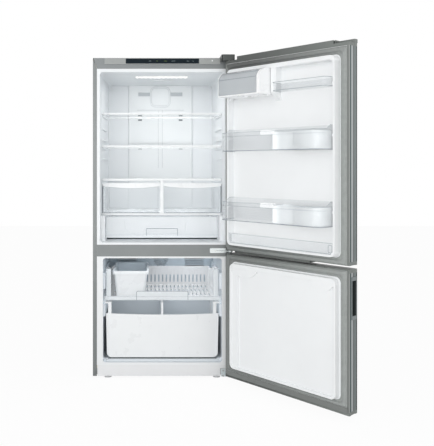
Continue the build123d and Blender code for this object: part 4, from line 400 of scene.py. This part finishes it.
# ---- the CAD nodes' materials and softened edges -------------------------------------------------
BASE = {
    "case_shell": CASE, "back_panel": GALV, "top_frame": BAND, "control_housing": HOUSING,
    "control_panel": GLASS_DARK, "control_board": BOARD, "mullion_cover": MULLION,
    "kick_plate": KICK, "base_pan": GALV, "cabinet_foam": FOAM, "fresh_food_liner": LINER,
    "freezer_liner": FREEZER, "air_duct_cover": DUCT, "led_lamp": LAMP, "shelf_glass": SHELF,
    "shelf_trims": TRIM, "crisper_cover_frame": TRIM, "deli_cover_shelf": TRIM,
    "freezer_back_cover": FREEZER_BACK_SHADED, "evaporator": ALU, "compressor": BLACK, "condenser": ALU,
    "condenser_fan_shroud": BLACK_PL, "drain_pan": BLACK_PL, "machine_cover": GALV,
    "power_inlet": BLACK_PL, "levelling_legs": FOOT, "top_hinge_bracket": ZINC,
    "top_hinge_cover": DARK, "middle_hinge_bracket": ZINC, "bottom_hinge_bracket": HINGE,
    "case_screws": SCREW, "evaporator_fan": FREEZER_BACK_SHADED, "condenser_fan": BLACK_PL,
    "rear_rollers": GREY_PL, "door_switch": TRIM, "upper_door_shell": DOOR,
    "upper_door_liner": DOOR_LINER, "upper_door_foam": FOAM, "upper_door_gasket": GASKET,
    "upper_door_end_caps": CAP, "door_bins": CLEAR, "middle_bin_insert": INSERT_LIT,
    "lower_bin_insert": INSERT_LIT, "dairy_base": DAIRY_WHITE, "dairy_lid": SMOKY, "small_bin": CLEAR,
    "door_guard": CLEAR, "freezer_door_shell": DOOR, "freezer_door_liner": DOOR_LINER,
    "freezer_door_foam": FOAM, "freezer_door_gasket": GASKET, "freezer_door_end_caps": CAP,
    "freezer_door_handle": HANDLE, "crisper_left": CRISPER, "crisper_right": CRISPER,
    "deli_drawer": DELI, "freezer_basket": BASKET, "ice_bin": ICE, "freezer_drawer": DRAWER,
}
EDGE = {  # width of a node's softened edges in mm
    "shelf_trims": 1.6, "crisper_cover_frame": 1.6, "deli_cover_shelf": 1.6, "crisper_left": 0.8,
    "crisper_right": 0.8, "deli_drawer": 0.8, "freezer_basket": 1.2, "ice_bin": 1.0,
    "freezer_drawer": 1.4, "door_bins": 0.8, "small_bin": 0.8, "door_guard": 0.8,
    "dairy_lid": 1.0, "middle_bin_insert": 0.8, "lower_bin_insert": 0.8,
    "upper_door_liner": 3.0, "freezer_door_liner": 3.0, "upper_door_end_caps": 1.2,
    "freezer_door_end_caps": 1.2, "top_hinge_cover": 1.5, "control_housing": 0.6,
    "freezer_door_handle": 1.2, "air_duct_cover": 1.2, "kick_plate": 0.8,
    "middle_hinge_bracket": 0.6, "bottom_hinge_bracket": 0.6, "mullion_cover": 0.25,
    "compressor": 1.5, "machine_cover": 0.3,
}


def soften(obj, width):
    """Rounds a node's sharp edges by a width in millimetres."""
    weld = obj.modifiers.new("weld", "WELD")
    weld.merge_threshold = 0.00001
    bevel = obj.modifiers.new("edge", "BEVEL")
    bevel.width = width / 1000
    bevel.segments = 2
    bevel.limit_method = "ANGLE"
    bevel.angle_limit = math.radians(50)
    bevel.use_clamp_overlap = True
    bevel.harden_normals = True


def paint(name, *rules):
    """Gives a CAD node's faces more materials: rules are (material, test of centre and normal)."""
    mesh = NODES[name].data
    first = len(mesh.materials)
    for material, _ in rules:
        mesh.materials.append(material.mat)
    for poly in mesh.polygons:
        for k, (_, test) in enumerate(rules):
            if test(poly.center, poly.normal):
                poly.material_index = first + k


for name, obj in NODES.items():
    obj.data.materials.clear()
    obj.data.materials.append(BASE[name].mat)
    for poly in obj.data.polygons:
        poly.material_index = 0
    if name in EDGE:
        soften(obj, EDGE[name])

# Places of the painted faces: metres in the CAD frame, or millimetres along and out of a door.
BAND_BACK = 0.1279  # rear of the white band on a crisper's front
EDGE_S = 741  # start of the door's folded free edge
SKIN_P = -1.5  # just behind the door's inner face
POCKET_S = 749.5
POCKET_P = (-57, -25)
HOOK_S = (330, 424)
HOOK_P = 105
LENS_Z = 1.6739  # just under the lamp cover's own face
DUCT_FACE = 0.6025
VENTS_X = (0.064, 0.143)
TOP_VENTS_Z = 1.6
RAIL_X, RAIL_Y, RAIL_Z = (0.30, 0.33), (0.05, 0.36), (0.32, 0.43)
FLANGE_Y = 0.004
BASKET_WALL_Y = 0.09  # rear of the basket's clear front
BASKET_LEFT = -0.27  # the walls left of this stay as they are
DEEP_Y = 0.2  # faces behind this are at the back of a drawer or the ice bin


def within(value, span):
    return span[0] < value < span[1]


def is_band(c, n):
    return c.y < BAND_BACK


def on_edge(c, n):
    s, p, z = door_sp(c)
    return s > EDGE_S and p < SKIN_P


def on_hem(c, n):
    s, p, z = door_sp(c)
    return p > SKIN_P


def in_pocket(c, n):
    s, p, z = door_sp(c)
    return s < POCKET_S and within(p, POCKET_P)


def top_rim(low, high=math.inf):
    """The narrow upper edges of an open bin, between two heights in millimetres."""
    return lambda c, n: n.z > 0.9 and low < c.z * 1000 < high


def bins_rim(c, n):
    """The upper edges of both large bins."""
    return top_rim(950, 1100)(c, n) or top_rim(1300)(c, n)


def hook(low):
    """The hook of a bin insert, above a height in millimetres."""
    def test(c, n):
        s, p, z = door_sp(c)
        return within(s, HOOK_S) and p > HOOK_P and z > low
    return test


def in_vent(c, n):
    """The vents in the air duct cover, which get painted shadow."""
    return c.y > DUCT_FACE and within(abs(c.x), VENTS_X)


def in_top_vent(c, n):
    return in_vent(c, n) and c.z > TOP_VENTS_Z


def beside_rail(c, n):
    """The hollows beside the freezer drawer's rails, which lie in shade and get painted light."""
    return within(abs(c.x), RAIL_X) and within(c.y, RAIL_Y) and within(c.z, RAIL_Z)


def on_flange(c, n):
    """The freezer liner's front edge, which gets a lighter copy of its white: painted light."""
    return c.y < FLANGE_Y and n.y < -0.9


# Faces inside the basket behind its front get painted light, but not the walls left of BASKET_LEFT.
def in_basket(c, n):
    left_side = c.x < BASKET_LEFT and abs(n.x) > 0.5
    return c.y > BASKET_WALL_Y and not left_side


def at_back(c, n):
    """The front of a rear wall, which gets painted shade."""
    return n.y < -0.5 and c.y > DEEP_Y


def on_lens(c, n):
    return c.z < LENS_Z


for name in ("crisper_left", "crisper_right"):
    paint(name, (TRIM, is_band))
for name in ("upper_door_shell", "freezer_door_shell"):
    paint(name, (EDGE_FOLD_LIGHT, on_edge), (DOOR_HEM, on_hem))
paint("freezer_door_handle", (HANDLE_IN, in_pocket))
for name in ("crisper_left", "crisper_right"):
    paint(name, (FAINT, top_rim(1000)))
paint("door_bins", (CLEAR_EDGE, bins_rim))
paint("small_bin", (CLEAR_EDGE, top_rim(1560)))
paint("middle_bin_insert", (CLEAR_EDGE, top_rim(1300)), (KNOB_LIT, hook(1310)))
paint("lower_bin_insert", (CLEAR_EDGE, top_rim(950)), (KNOB_LIT, hook(956)))
paint("air_duct_cover", (VENT, in_vent), (VENT_SOFT, in_top_vent))
paint("freezer_liner", (RAIL_LIT, beside_rail), (FLANGE, on_flange))
paint("freezer_basket", (BASKET_INSIDE_LIT, in_basket))
paint("ice_bin", (ICE_BACK_SHADED, at_back))
paint("freezer_drawer", (DRAWER_BACK_SHADED, at_back))
paint("led_lamp", (LENS, on_lens))


# ---- pieces --------------------------------------------------------------------------------------
def mm(x, y, z):
    """A point given in millimetres, in metres."""
    return Vector((x, y, z)) / 1000


def add_piece(name, data, body):
    """A new object that rides on a body, with the material that its data holds."""
    obj = bpy.data.objects.new(name, data)
    scene.collection.objects.link(obj)
    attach(obj, body)
    return obj


def shell(name, verts, faces, material, body, smooth=True):
    """A mesh with its normals outward."""
    mesh = bpy.data.meshes.new(name)
    mesh.from_pydata([tuple(v) for v in verts], [], faces)
    mesh.materials.append(material.mat)
    bm = bmesh.new()
    bm.from_mesh(mesh)
    bmesh.ops.recalc_face_normals(bm, faces=bm.faces)
    bm.to_mesh(mesh)
    bm.free()
    for poly in mesh.polygons:
        poly.use_smooth = smooth
    return add_piece(name, mesh, body)


def rings(name, loops, material, body):
    """A closed band through a list of loops with the same number of points."""
    count = len(loops[0])
    faces = []
    for a in range(len(loops)):
        b = (a + 1) % len(loops)
        for k in range(count):
            q = (k + 1) % count
            faces.append((a * count + k, a * count + q, b * count + q, b * count + k))
    return shell(name, [v for loop in loops for v in loop], faces, material, body)


def lines(name, paths, radius, material, body, closed=False):
    """Thin round beads along paths given in metres, with a radius in millimetres."""
    curve = bpy.data.curves.new(name, "CURVE")
    curve.dimensions = "3D"
    curve.bevel_depth = radius / 1000
    curve.bevel_resolution = 2
    for path in paths:
        spline = curve.splines.new("POLY")
        spline.points.add(len(path) - 1)
        for point, place in zip(spline.points, path):
            point.co = (*place, 1)
        spline.use_cyclic_u = closed
    curve.materials.append(material.mat)
    return add_piece(name, curve, body)


def arc(cx, cy, r, a0, a1, n=8):
    """Points of an arc in degrees."""
    turns = [math.radians(a0 + (a1 - a0) * k / n) for k in range(n + 1)]
    return [(cx + r * math.cos(a), cy + r * math.sin(a)) for a in turns]


def rounded_rect(x0, x1, y0, y1, r, n=8):
    """Points of a rectangle whose corners are arcs of n steps."""
    corners = ((x1 - r, y1 - r), (x0 + r, y1 - r), (x0 + r, y0 + r), (x1 - r, y0 + r))
    return [point for k, (cx, cy) in enumerate(corners)
            for point in arc(cx, cy, r, 90 * k, 90 * k + 90, n)]


def grip_path(foot, top, low, high, r):
    """(x, z) round a finger grip: up one side, over the top and down the other."""
    return ([(-foot, low)] + arc(-top, high, r, 180, 90, 5) + arc(top, high, r, 90, 0, 5)
            + [(foot, low)])


def bin_path(s0, s1, reach, r, back=4):
    """(s, p) of a door bin's outline, from one back corner round the front to the other."""
    return ([(s0, back)] + arc(s0 + r, reach - r, r, 180, 90) + arc(s1 - r, reach - r, r, 90, 0)
            + [(s1, back)])


# ---- door seals, in place of their plain solids --------------------------------------------------
SEAL_PROFILE = (  # mm in from the seal's outer edge, and out of the door
    (0, 0.2), (0, 2.4), (0.6, 3.0), (4.0, 3.0), (4.2, 5.5), (5.0, 8.2), (6.6, 9.4), (9.0, 9.7),
    (16.0, 9.7), (18.6, 9.3), (20.4, 8.0), (21.2, 5.4), (21.4, 3.2), (24.4, 3.0), (25.4, 4.4),
    (27.6, 4.9), (29.6, 4.2), (30.4, 3.0), (32.6, 2.6), (33.0, 0.2),
)
SEAL_IN = 10  # from the door's edge to the seal
SEAL_CORNER = 3
TOP_RUN = 0.036  # metres below a seal's top that belong to its top run


def seal(name, z0, z1, low_scale, body):
    """A door's seal between two heights; its lower run's profile is narrower by a scale."""
    loops = []
    for u, p in SEAL_PROFILE:
        s0, s1 = SEAL_IN + u, DOOR_W - SEAL_IN - u
        ring = rounded_rect(s0, s1, z0 + u * low_scale, z1 - u, SEAL_CORNER + u * 0.75)
        loops.append([door(s, p, z) for s, z in ring])
    obj = rings(name + "_seal", loops, GASKET, body)
    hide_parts(name)
    return obj


UPPER_SEAL_Z = (713, 1712)
FREEZER_SEAL_Z = (68, 688)
upper_seal = seal("upper_door_gasket", *UPPER_SEAL_Z, 0.9, "upper_door").data
# The top run of the upper seal takes the darker copy with painted shade.
upper_seal.materials.append(GASKET_TOP_SHADED.mat)
for poly in upper_seal.polygons:
    poly.material_index = int(poly.center.z > UPPER_SEAL_Z[1] / 1000 - TOP_RUN)
seal("freezer_door_gasket", *FREEZER_SEAL_Z, 0.66, "freezer_door")

# ---- door bins: the thick clear edges that catch the light ---------------------------------------
BIN_FLOORS = {"middle": 1240, "lower": 886}
BIN_S = (68, 682)
BIN_REACH = 124
BIN_CORNER = 39
BIN_SIDE = ((4, 114), (44, 114), (78, 94))  # p and height of a side's upper edge, which steps down
BIN_FRONT_H = 94
BIN_LIP_H = 75
bin_outline = bin_path(*BIN_S, BIN_REACH, BIN_CORNER)
bin_front = bin_outline[1:-1]
floor_edges, upper_edges = [], []
for low in sorted(BIN_FLOORS.values()):
    floor_edges.append([door(s, p, low + 1.2) for s, p in bin_outline])
    sides = [[door(s, p, low + h) for p, h in BIN_SIDE] for s in BIN_S]
    front_edge = [door(s, p, low + BIN_FRONT_H) for s, p in bin_front]
    upper_edges.append(sides[0] + front_edge + sides[1][::-1])
    upper_edges.append([door(s, p + 0.6, low + BIN_LIP_H) for s, p in bin_front])
lines("bin_floor_edges", floor_edges, 1.7, LINE, "upper_door")
lines("bin_rail_edges", upper_edges, 0.9, FAINT, "upper_door")

SMALL_BIN_S = (372.3, 684)
SMALL_BIN_REACH = 85
SMALL_BIN_CORNER = 25
SMALL_BIN_Z = (1531.2, 1572)
small_outline = bin_path(*SMALL_BIN_S, SMALL_BIN_REACH, SMALL_BIN_CORNER)
small_edges = [[door(s, p, z) for s, p in small_outline] for z in SMALL_BIN_Z]
lines("small_bin_edges", small_edges, 1.3, FAINT, "upper_door")

GUARD_S = (60, 690)
GUARD_P = 43
GUARD_Z = (762, 811)
guard_edges = [[door(s, GUARD_P, z) for s in GUARD_S] for z in GUARD_Z]
lines("guard_edges", guard_edges, 0.9, FAINT, "upper_door")

TUB_REACH = 122
TUB_CORNER = 36
TUB_BACK = 10
TUB_EDGES_H = (88.6, 3.6)
TUB_DIVIDER_S = 533.5
TUB_DIVIDER = ((12, 80), (120, 80), (121.6, 78), (121.6, 6))  # p and height along its edge
tub_outline = bin_path(*TUB, TUB_REACH, TUB_CORNER, TUB_BACK)
for tag, low in BIN_FLOORS.items():
    tub_edges = [[door(s, p, low + h) for s, p in tub_outline] for h in TUB_EDGES_H]
    tub_edges.append([door(TUB_DIVIDER_S, p, low + h) for p, h in TUB_DIVIDER])
    lines(f"{tag}_insert_edges", tub_edges, 0.8, FAINT, f"{tag}_insert")

# ---- freezer door: the folded steel below its seal -----------------------------------------------
HEM_P = (2.02, 2.35)
HEM_OUTLINE = ((8, 41.5), (742, 41.5), (742, 67), (8, 67))
hem = [door(s, p, z) for p in HEM_P for s, z in HEM_OUTLINE]
hem_sides = [(k, (k + 1) % 4, (k + 1) % 4 + 4, k + 4) for k in range(4)]
shell("freezer_door_hem", hem, [(0, 1, 2, 3), (4, 5, 6, 7), *hem_sides], DOOR_HEM, "freezer_door",
      smooth=False)

# ---- dairy visor: its mouldings ------------------------------------------------------------------
VISOR_S = (66, 317)
VISOR_MOULDINGS = ((128, 1606), (110, 1635), (60, 1650))  # p and height
visor = [[door(s, p, z) for s in VISOR_S] for p, z in VISOR_MOULDINGS]
lines("dairy_visor_edges", visor, 1.1, LINE, "lid")

# ---- crispers: outlines of their fronts and rear walls -------------------------------------------
CRISPER_X = (11.0, 335.5)  # a front's inner and outer end
CRISPER_REAR_X = (13.0, 327.0)
CRISPER_SIDE_X = 334.2
CRISPER_SIDE_Z = (899, 1058)
CRISPER_FRONT = 127.4
CRISPER_REAR = 574
CRISPER_LOW = 897.6
CRISPER_REAR_Z = (900, 1037)
BAND_LOW = 1038  # the white band's lower edge at its middle
BAND_BOW = 12.3  # and how far it rises to its ends
BAND_STEPS = 16
for tag, hand in (("left", -1), ("right", 1)):
    body = f"{tag}_crisper"
    x0, x1 = sorted(hand * x for x in CRISPER_X)
    middle = (x0 + x1) / 2
    band_x = [x0 + 2 + (x1 - x0 - 4) * k / BAND_STEPS for k in range(BAND_STEPS + 1)]
    band = [mm(x, CRISPER_FRONT, BAND_LOW + BAND_BOW * ((x - middle) / (x1 - middle)) ** 2)
            for x in band_x]
    front_foot = [mm(x, CRISPER_FRONT, CRISPER_LOW + 1.5) for x in (x0 + 4, x1 - 4)]
    r0, r1 = sorted(hand * x for x in CRISPER_REAR_X)
    rear_top = [mm(x, CRISPER_REAR + 0.4, CRISPER_REAR_Z[1]) for x in (r0 + 4, r1 - 4)]
    rear_sides = [[mm(x, CRISPER_REAR, z) for z in CRISPER_REAR_Z] for x in (r0 + 3, r1 - 3)]
    lines(f"crisper_{tag}_edges", [band, front_foot, rear_top, *rear_sides], 1.1, FAINT, body)
    outer_side = [mm(hand * CRISPER_SIDE_X, 127, z) for z in CRISPER_SIDE_Z]
    lines(f"crisper_{tag}_side", [outer_side], 1.8, LINE, body)
    foot = [mm(x, 127.2, CRISPER_LOW + 0.9) for x in (x0 + 3, x1 - 3)]
    lines(f"crisper_{tag}_foot", [foot], 1.7, LINE, body)

# ---- deli drawer: its grip, front, painted foot shadow and side walls ----------------------------
DELI_FRONT = 127.3
DELI_BOX = (-315, 315, 772.5, 876.5)
DELI_GRIP = (88, 84, 768, 804)  # half width at its foot and top, and their heights
DELI_FOOT = (313, 131.5, 752.6)  # half width, depth and height of the painted shadow at its foot
DELI_WALLS = (  # the side walls and the floor behind the clear front, as ends in (x, z)
    ((-215, 852), (-198, 779)),
    ((137, 850), (131, 779)),
    ((-308, 779), (308, 779)),
)
deli_grip = [mm(x, 126, z) for x, z in grip_path(*DELI_GRIP, 5)]
lines("deli_grip_edge", [deli_grip], 1.3, LINE, "deli")
deli_box = [mm(x, DELI_FRONT, z) for x, z in rounded_rect(*DELI_BOX, 4, 4)]
lines("deli_front_edges", [deli_box], 0.8, FAINT, "deli", closed=True)
half, y, z = DELI_FOOT
lines("deli_foot_shadow", [[mm(x, y, z) for x in (-half, half)]], 4.2, SHADOW, "deli")
deli_walls = [[mm(x, DELI_FRONT, z) for x, z in ends] for ends in DELI_WALLS]
lines("deli_side_lines", deli_walls, 0.6, WHISPER, "deli")

# ---- the guard's clip, and painted shadow in the gaps round the crispers and under the drawer ----
CLIP = (668, 688, 768, 802)
GAP_X = 337.2
GAP_Z = (899, 1060)
DRAWER_FOOT = (300, 36, 101.6)  # half width, depth and height
clip = [door(s, 44, z) for s, z in rounded_rect(*CLIP, 5, 3)]
lines("guard_clip", [clip], 1.0, FAINT, "upper_door", closed=True)
gaps = [[mm(x, 128, z) for z in GAP_Z] for x in (-GAP_X, GAP_X)]
lines("crisper_gap_shadows", gaps, 1.1, SHADOW, "cabinet")
half, y, z = DRAWER_FOOT
lines("drawer_foot_shadow", [[mm(x, y, z) for x in (-half, half)]], 2.4, SHADOW, "cabinet")

# ---- freezer basket: its grip and front ----------------------------------------------------------
BASKET_GRIP = (142, 134, 424, 464)  # as the deli drawer's
BASKET_HALF = 318
BASKET_FRONT_Z = (423, 443)
basket_grip = [mm(x, 33.4, z) for x, z in grip_path(*BASKET_GRIP, 8)]
lines("basket_grip_edge", [basket_grip], 1.3, LINE, "basket")
basket_front = [[mm(x, 33.6, z) for x in (-BASKET_HALF, BASKET_HALF)] for z in BASKET_FRONT_Z]
lines("basket_front_edges", basket_front, 0.8, WHISPER, "basket")

# ---- air duct cover: the edges of its bare badge, channel and line -------------------------------
BADGE_Y = 599
BADGE_RINGS = ((64, 1540.5, 1671.5, 34.5), (55.5, 1549, 1663, 26))  # half width, z span, radius
CHANNEL_Y = 602
CHANNEL_HALF = 13
CHANNEL_Z = (1520, 1152)
DUCT_LINE_HALF = 150
DUCT_LINE_Z = 1522
badge = [[mm(x, BADGE_Y, z) for x, z in rounded_rect(-half, half, z0, z1, r)]
         for half, z0, z1, r in BADGE_RINGS]
channel = [[mm(x, CHANNEL_Y, z) for z in CHANNEL_Z] for x in (-CHANNEL_HALF, CHANNEL_HALF)]
channel.append([mm(x, CHANNEL_Y, DUCT_LINE_Z) for x in (-DUCT_LINE_HALF, DUCT_LINE_HALF)])
lines("duct_badge_edge", badge, 0.7, WHISPER, "cabinet", closed=True)
lines("duct_channel_edge", channel, 0.6, WHISPER, "cabinet")

# ---- generic marks behind the control glass ------------------------------------------------------
MARK_Z = 1738.6
MARK_Y = (-3.9, -4.1)  # rear and front
MARK_WALL = 0.7
MARKS = (  # x, width, height and material
    (-68, 14, 2.4, MARK), (-30, 9, 4.5, MARK_GREEN), (17, 15, 4.5, MARK_GREEN),
    (60, 20, 2.4, MARK), (140, 14, 2.0, MARK), (167, 6, 3.0, MARK),
)


def mark_outline(x, width, height, inset, radius):
    """(x, z) of a rounded stroke, inset on all sides."""
    half_w, half_h = width / 2 - inset, height / 2 - inset
    return rounded_rect(x - half_w, x + half_w, MARK_Z - half_h, MARK_Z + half_h, radius, 4)


for k, (x, width, height, material) in enumerate(MARKS):
    outer = mark_outline(x, width, height, 0, height * 0.45)
    inner = mark_outline(x, width, height, MARK_WALL, height * 0.15)
    rear, front = MARK_Y
    loops = [[mm(a, y, b) for a, b in outline] for outline, y in
             ((outer, rear), (outer, front), (inner, front), (inner, rear))]
    rings(f"panel_mark_{k}", loops, material, "cabinet")

# ---- stage ---------------------------------------------------------------------------------------
WORLD_LEVEL = 0.58  # light on the object; what the camera, glass and gloss see is plain white
FLOOR_GLOW = 0.95  # how much of the floor that the camera sees is its own white


def studio_world():
    """A white surround, dimmer as a light than as a background."""
    world = bpy.data.worlds.new("studio")
    scene.world = world
    world.use_nodes = True
    tree = world.node_tree
    tree.nodes.clear()
    link = tree.links.new
    out = add_node(tree, "OutputWorld")
    background = add_node(tree, "Background", {"Color": WHITE})
    path = add_node(tree, "LightPath")
    seen = add_node(tree, "Math", operation="MAXIMUM")
    shown = add_node(tree, "Math", operation="MAXIMUM")
    level = add_node(tree, "MapRange", {"To Min": WORLD_LEVEL, "To Max": 1.0})
    link(path.outputs["Is Camera Ray"], seen.inputs[0])
    link(path.outputs["Is Transmission Ray"], seen.inputs[1])
    link(seen.outputs[0], shown.inputs[0])
    link(path.outputs["Is Glossy Ray"], shown.inputs[1])
    link(shown.outputs[0], level.inputs["Value"])
    link(level.outputs[0], background.inputs["Strength"])
    link(background.outputs[0], out.inputs[0])


def floor_material():
    """Matt pale grey, which the camera sees as nearly white with a faint shadow."""
    material = bpy.data.materials.new("floor_white")
    material.use_nodes = True
    tree = material.node_tree
    tree.nodes.clear()
    link = tree.links.new
    out = add_node(tree, "OutputMaterial")
    matt = add_node(tree, "BsdfDiffuse", {"Color": (0.86, 0.86, 0.86, 1)})
    white = add_node(tree, "Emission", {"Strength": 1.0})
    mix = add_node(tree, "MixShader")
    path = add_node(tree, "LightPath")
    share = add_node(tree, "Math", {1: FLOOR_GLOW}, "MULTIPLY")
    link(path.outputs["Is Camera Ray"], share.inputs[0])
    link(share.outputs[0], mix.inputs[0])
    link(matt.outputs[0], mix.inputs[1])
    link(white.outputs[0], mix.inputs[2])
    link(mix.outputs[0], out.inputs[0])
    return material


def area(name, loc, target, size, power, size_y=None):
    """An area lamp that looks at a target."""
    light = bpy.data.lights.new(name, "AREA")
    light.energy = power
    light.size = size
    if size_y:
        light.shape = "RECTANGLE"
        light.size_y = size_y
    obj = bpy.data.objects.new(name, light)
    scene.collection.objects.link(obj)
    obj.location = loc
    obj.rotation_mode = "QUATERNION"
    obj.rotation_quaternion = (Vector(target) - Vector(loc)).to_track_quat("-Z", "Y")
    return obj


studio_world()
FLOOR_HALF = 9
mesh = bpy.data.meshes.new("floor")
corners = [(x * FLOOR_HALF, y * FLOOR_HALF, 0) for x, y in ((-1, -1), (1, -1), (1, 1), (-1, 1))]
mesh.from_pydata(corners, [], [(0, 1, 2, 3)])
mesh.materials.append(floor_material())
floor = bpy.data.objects.new("floor", mesh)
scene.collection.objects.link(floor)

area("key", (-2.6, -4.2, 2.8), (0, 0, 1.0), 2.6, 52)
area("fill", (2.9, -3.2, 2.2), (0.3, 0, 0.9), 2.2, 20)
area("front", (-0.4, -4.4, 0.9), (0, 0, 0.7), 2.4, 42)
area("cabinet_lamp", (0, 0.192, 1.664), (0, 0.24, 0.8), 0.29, 1.1, 0.02)
FILL_COLOR = (0.94, 0.97, 1.0)
FILL_DEPTH = 0.2
FILLS = (  # unseen lamps under the shelves: name, place, width and power
    ("crisper", (0, 0.33, 1.056), 0.56, 0.8),
    ("deli", (0, 0.33, 0.872), 0.56, 0.45),
    ("freezer", (-0.02, 0.14, 0.657), 0.5, 0.5),
    ("freezer_back", (0.16, 0.40, 0.655), 0.26, 0.2),
    ("drawer", (-0.03, 0.22, 0.412), 0.5, 0.17),
)
for tag, (x, y, z), width, power in FILLS:
    lamp = area(tag + "_fill", (x, y, z), (x, y + 0.06, 0), width, power, FILL_DEPTH)
    lamp.data.color = FILL_COLOR
    lamp.visible_camera = lamp.visible_glossy = lamp.visible_transmission = False

# The camera looks straight back; the photo's frame is shifted off its axis.
PHOTO_H = 446  # the longer side of the photo's frame, in pixels
FOCAL = 648  # focal length in pixels
SHIFT = (69, -57.3)  # in pixels
SENSOR = 36
CAMERA = (-0.079, -3.55, 1.166)
cam_data = bpy.data.cameras.new("camera")
cam = bpy.data.objects.new("camera", cam_data)
scene.collection.objects.link(cam)
cam.location = CAMERA
cam.rotation_euler = (math.radians(90), 0, 0)
cam_data.lens = FOCAL / PHOTO_H * SENSOR
cam_data.sensor_width = SENSOR
cam_data.shift_x, cam_data.shift_y = (pixels / PHOTO_H for pixels in SHIFT)
cam_data.clip_end = 40
scene.camera = cam
scene.view_settings.view_transform = "Standard"
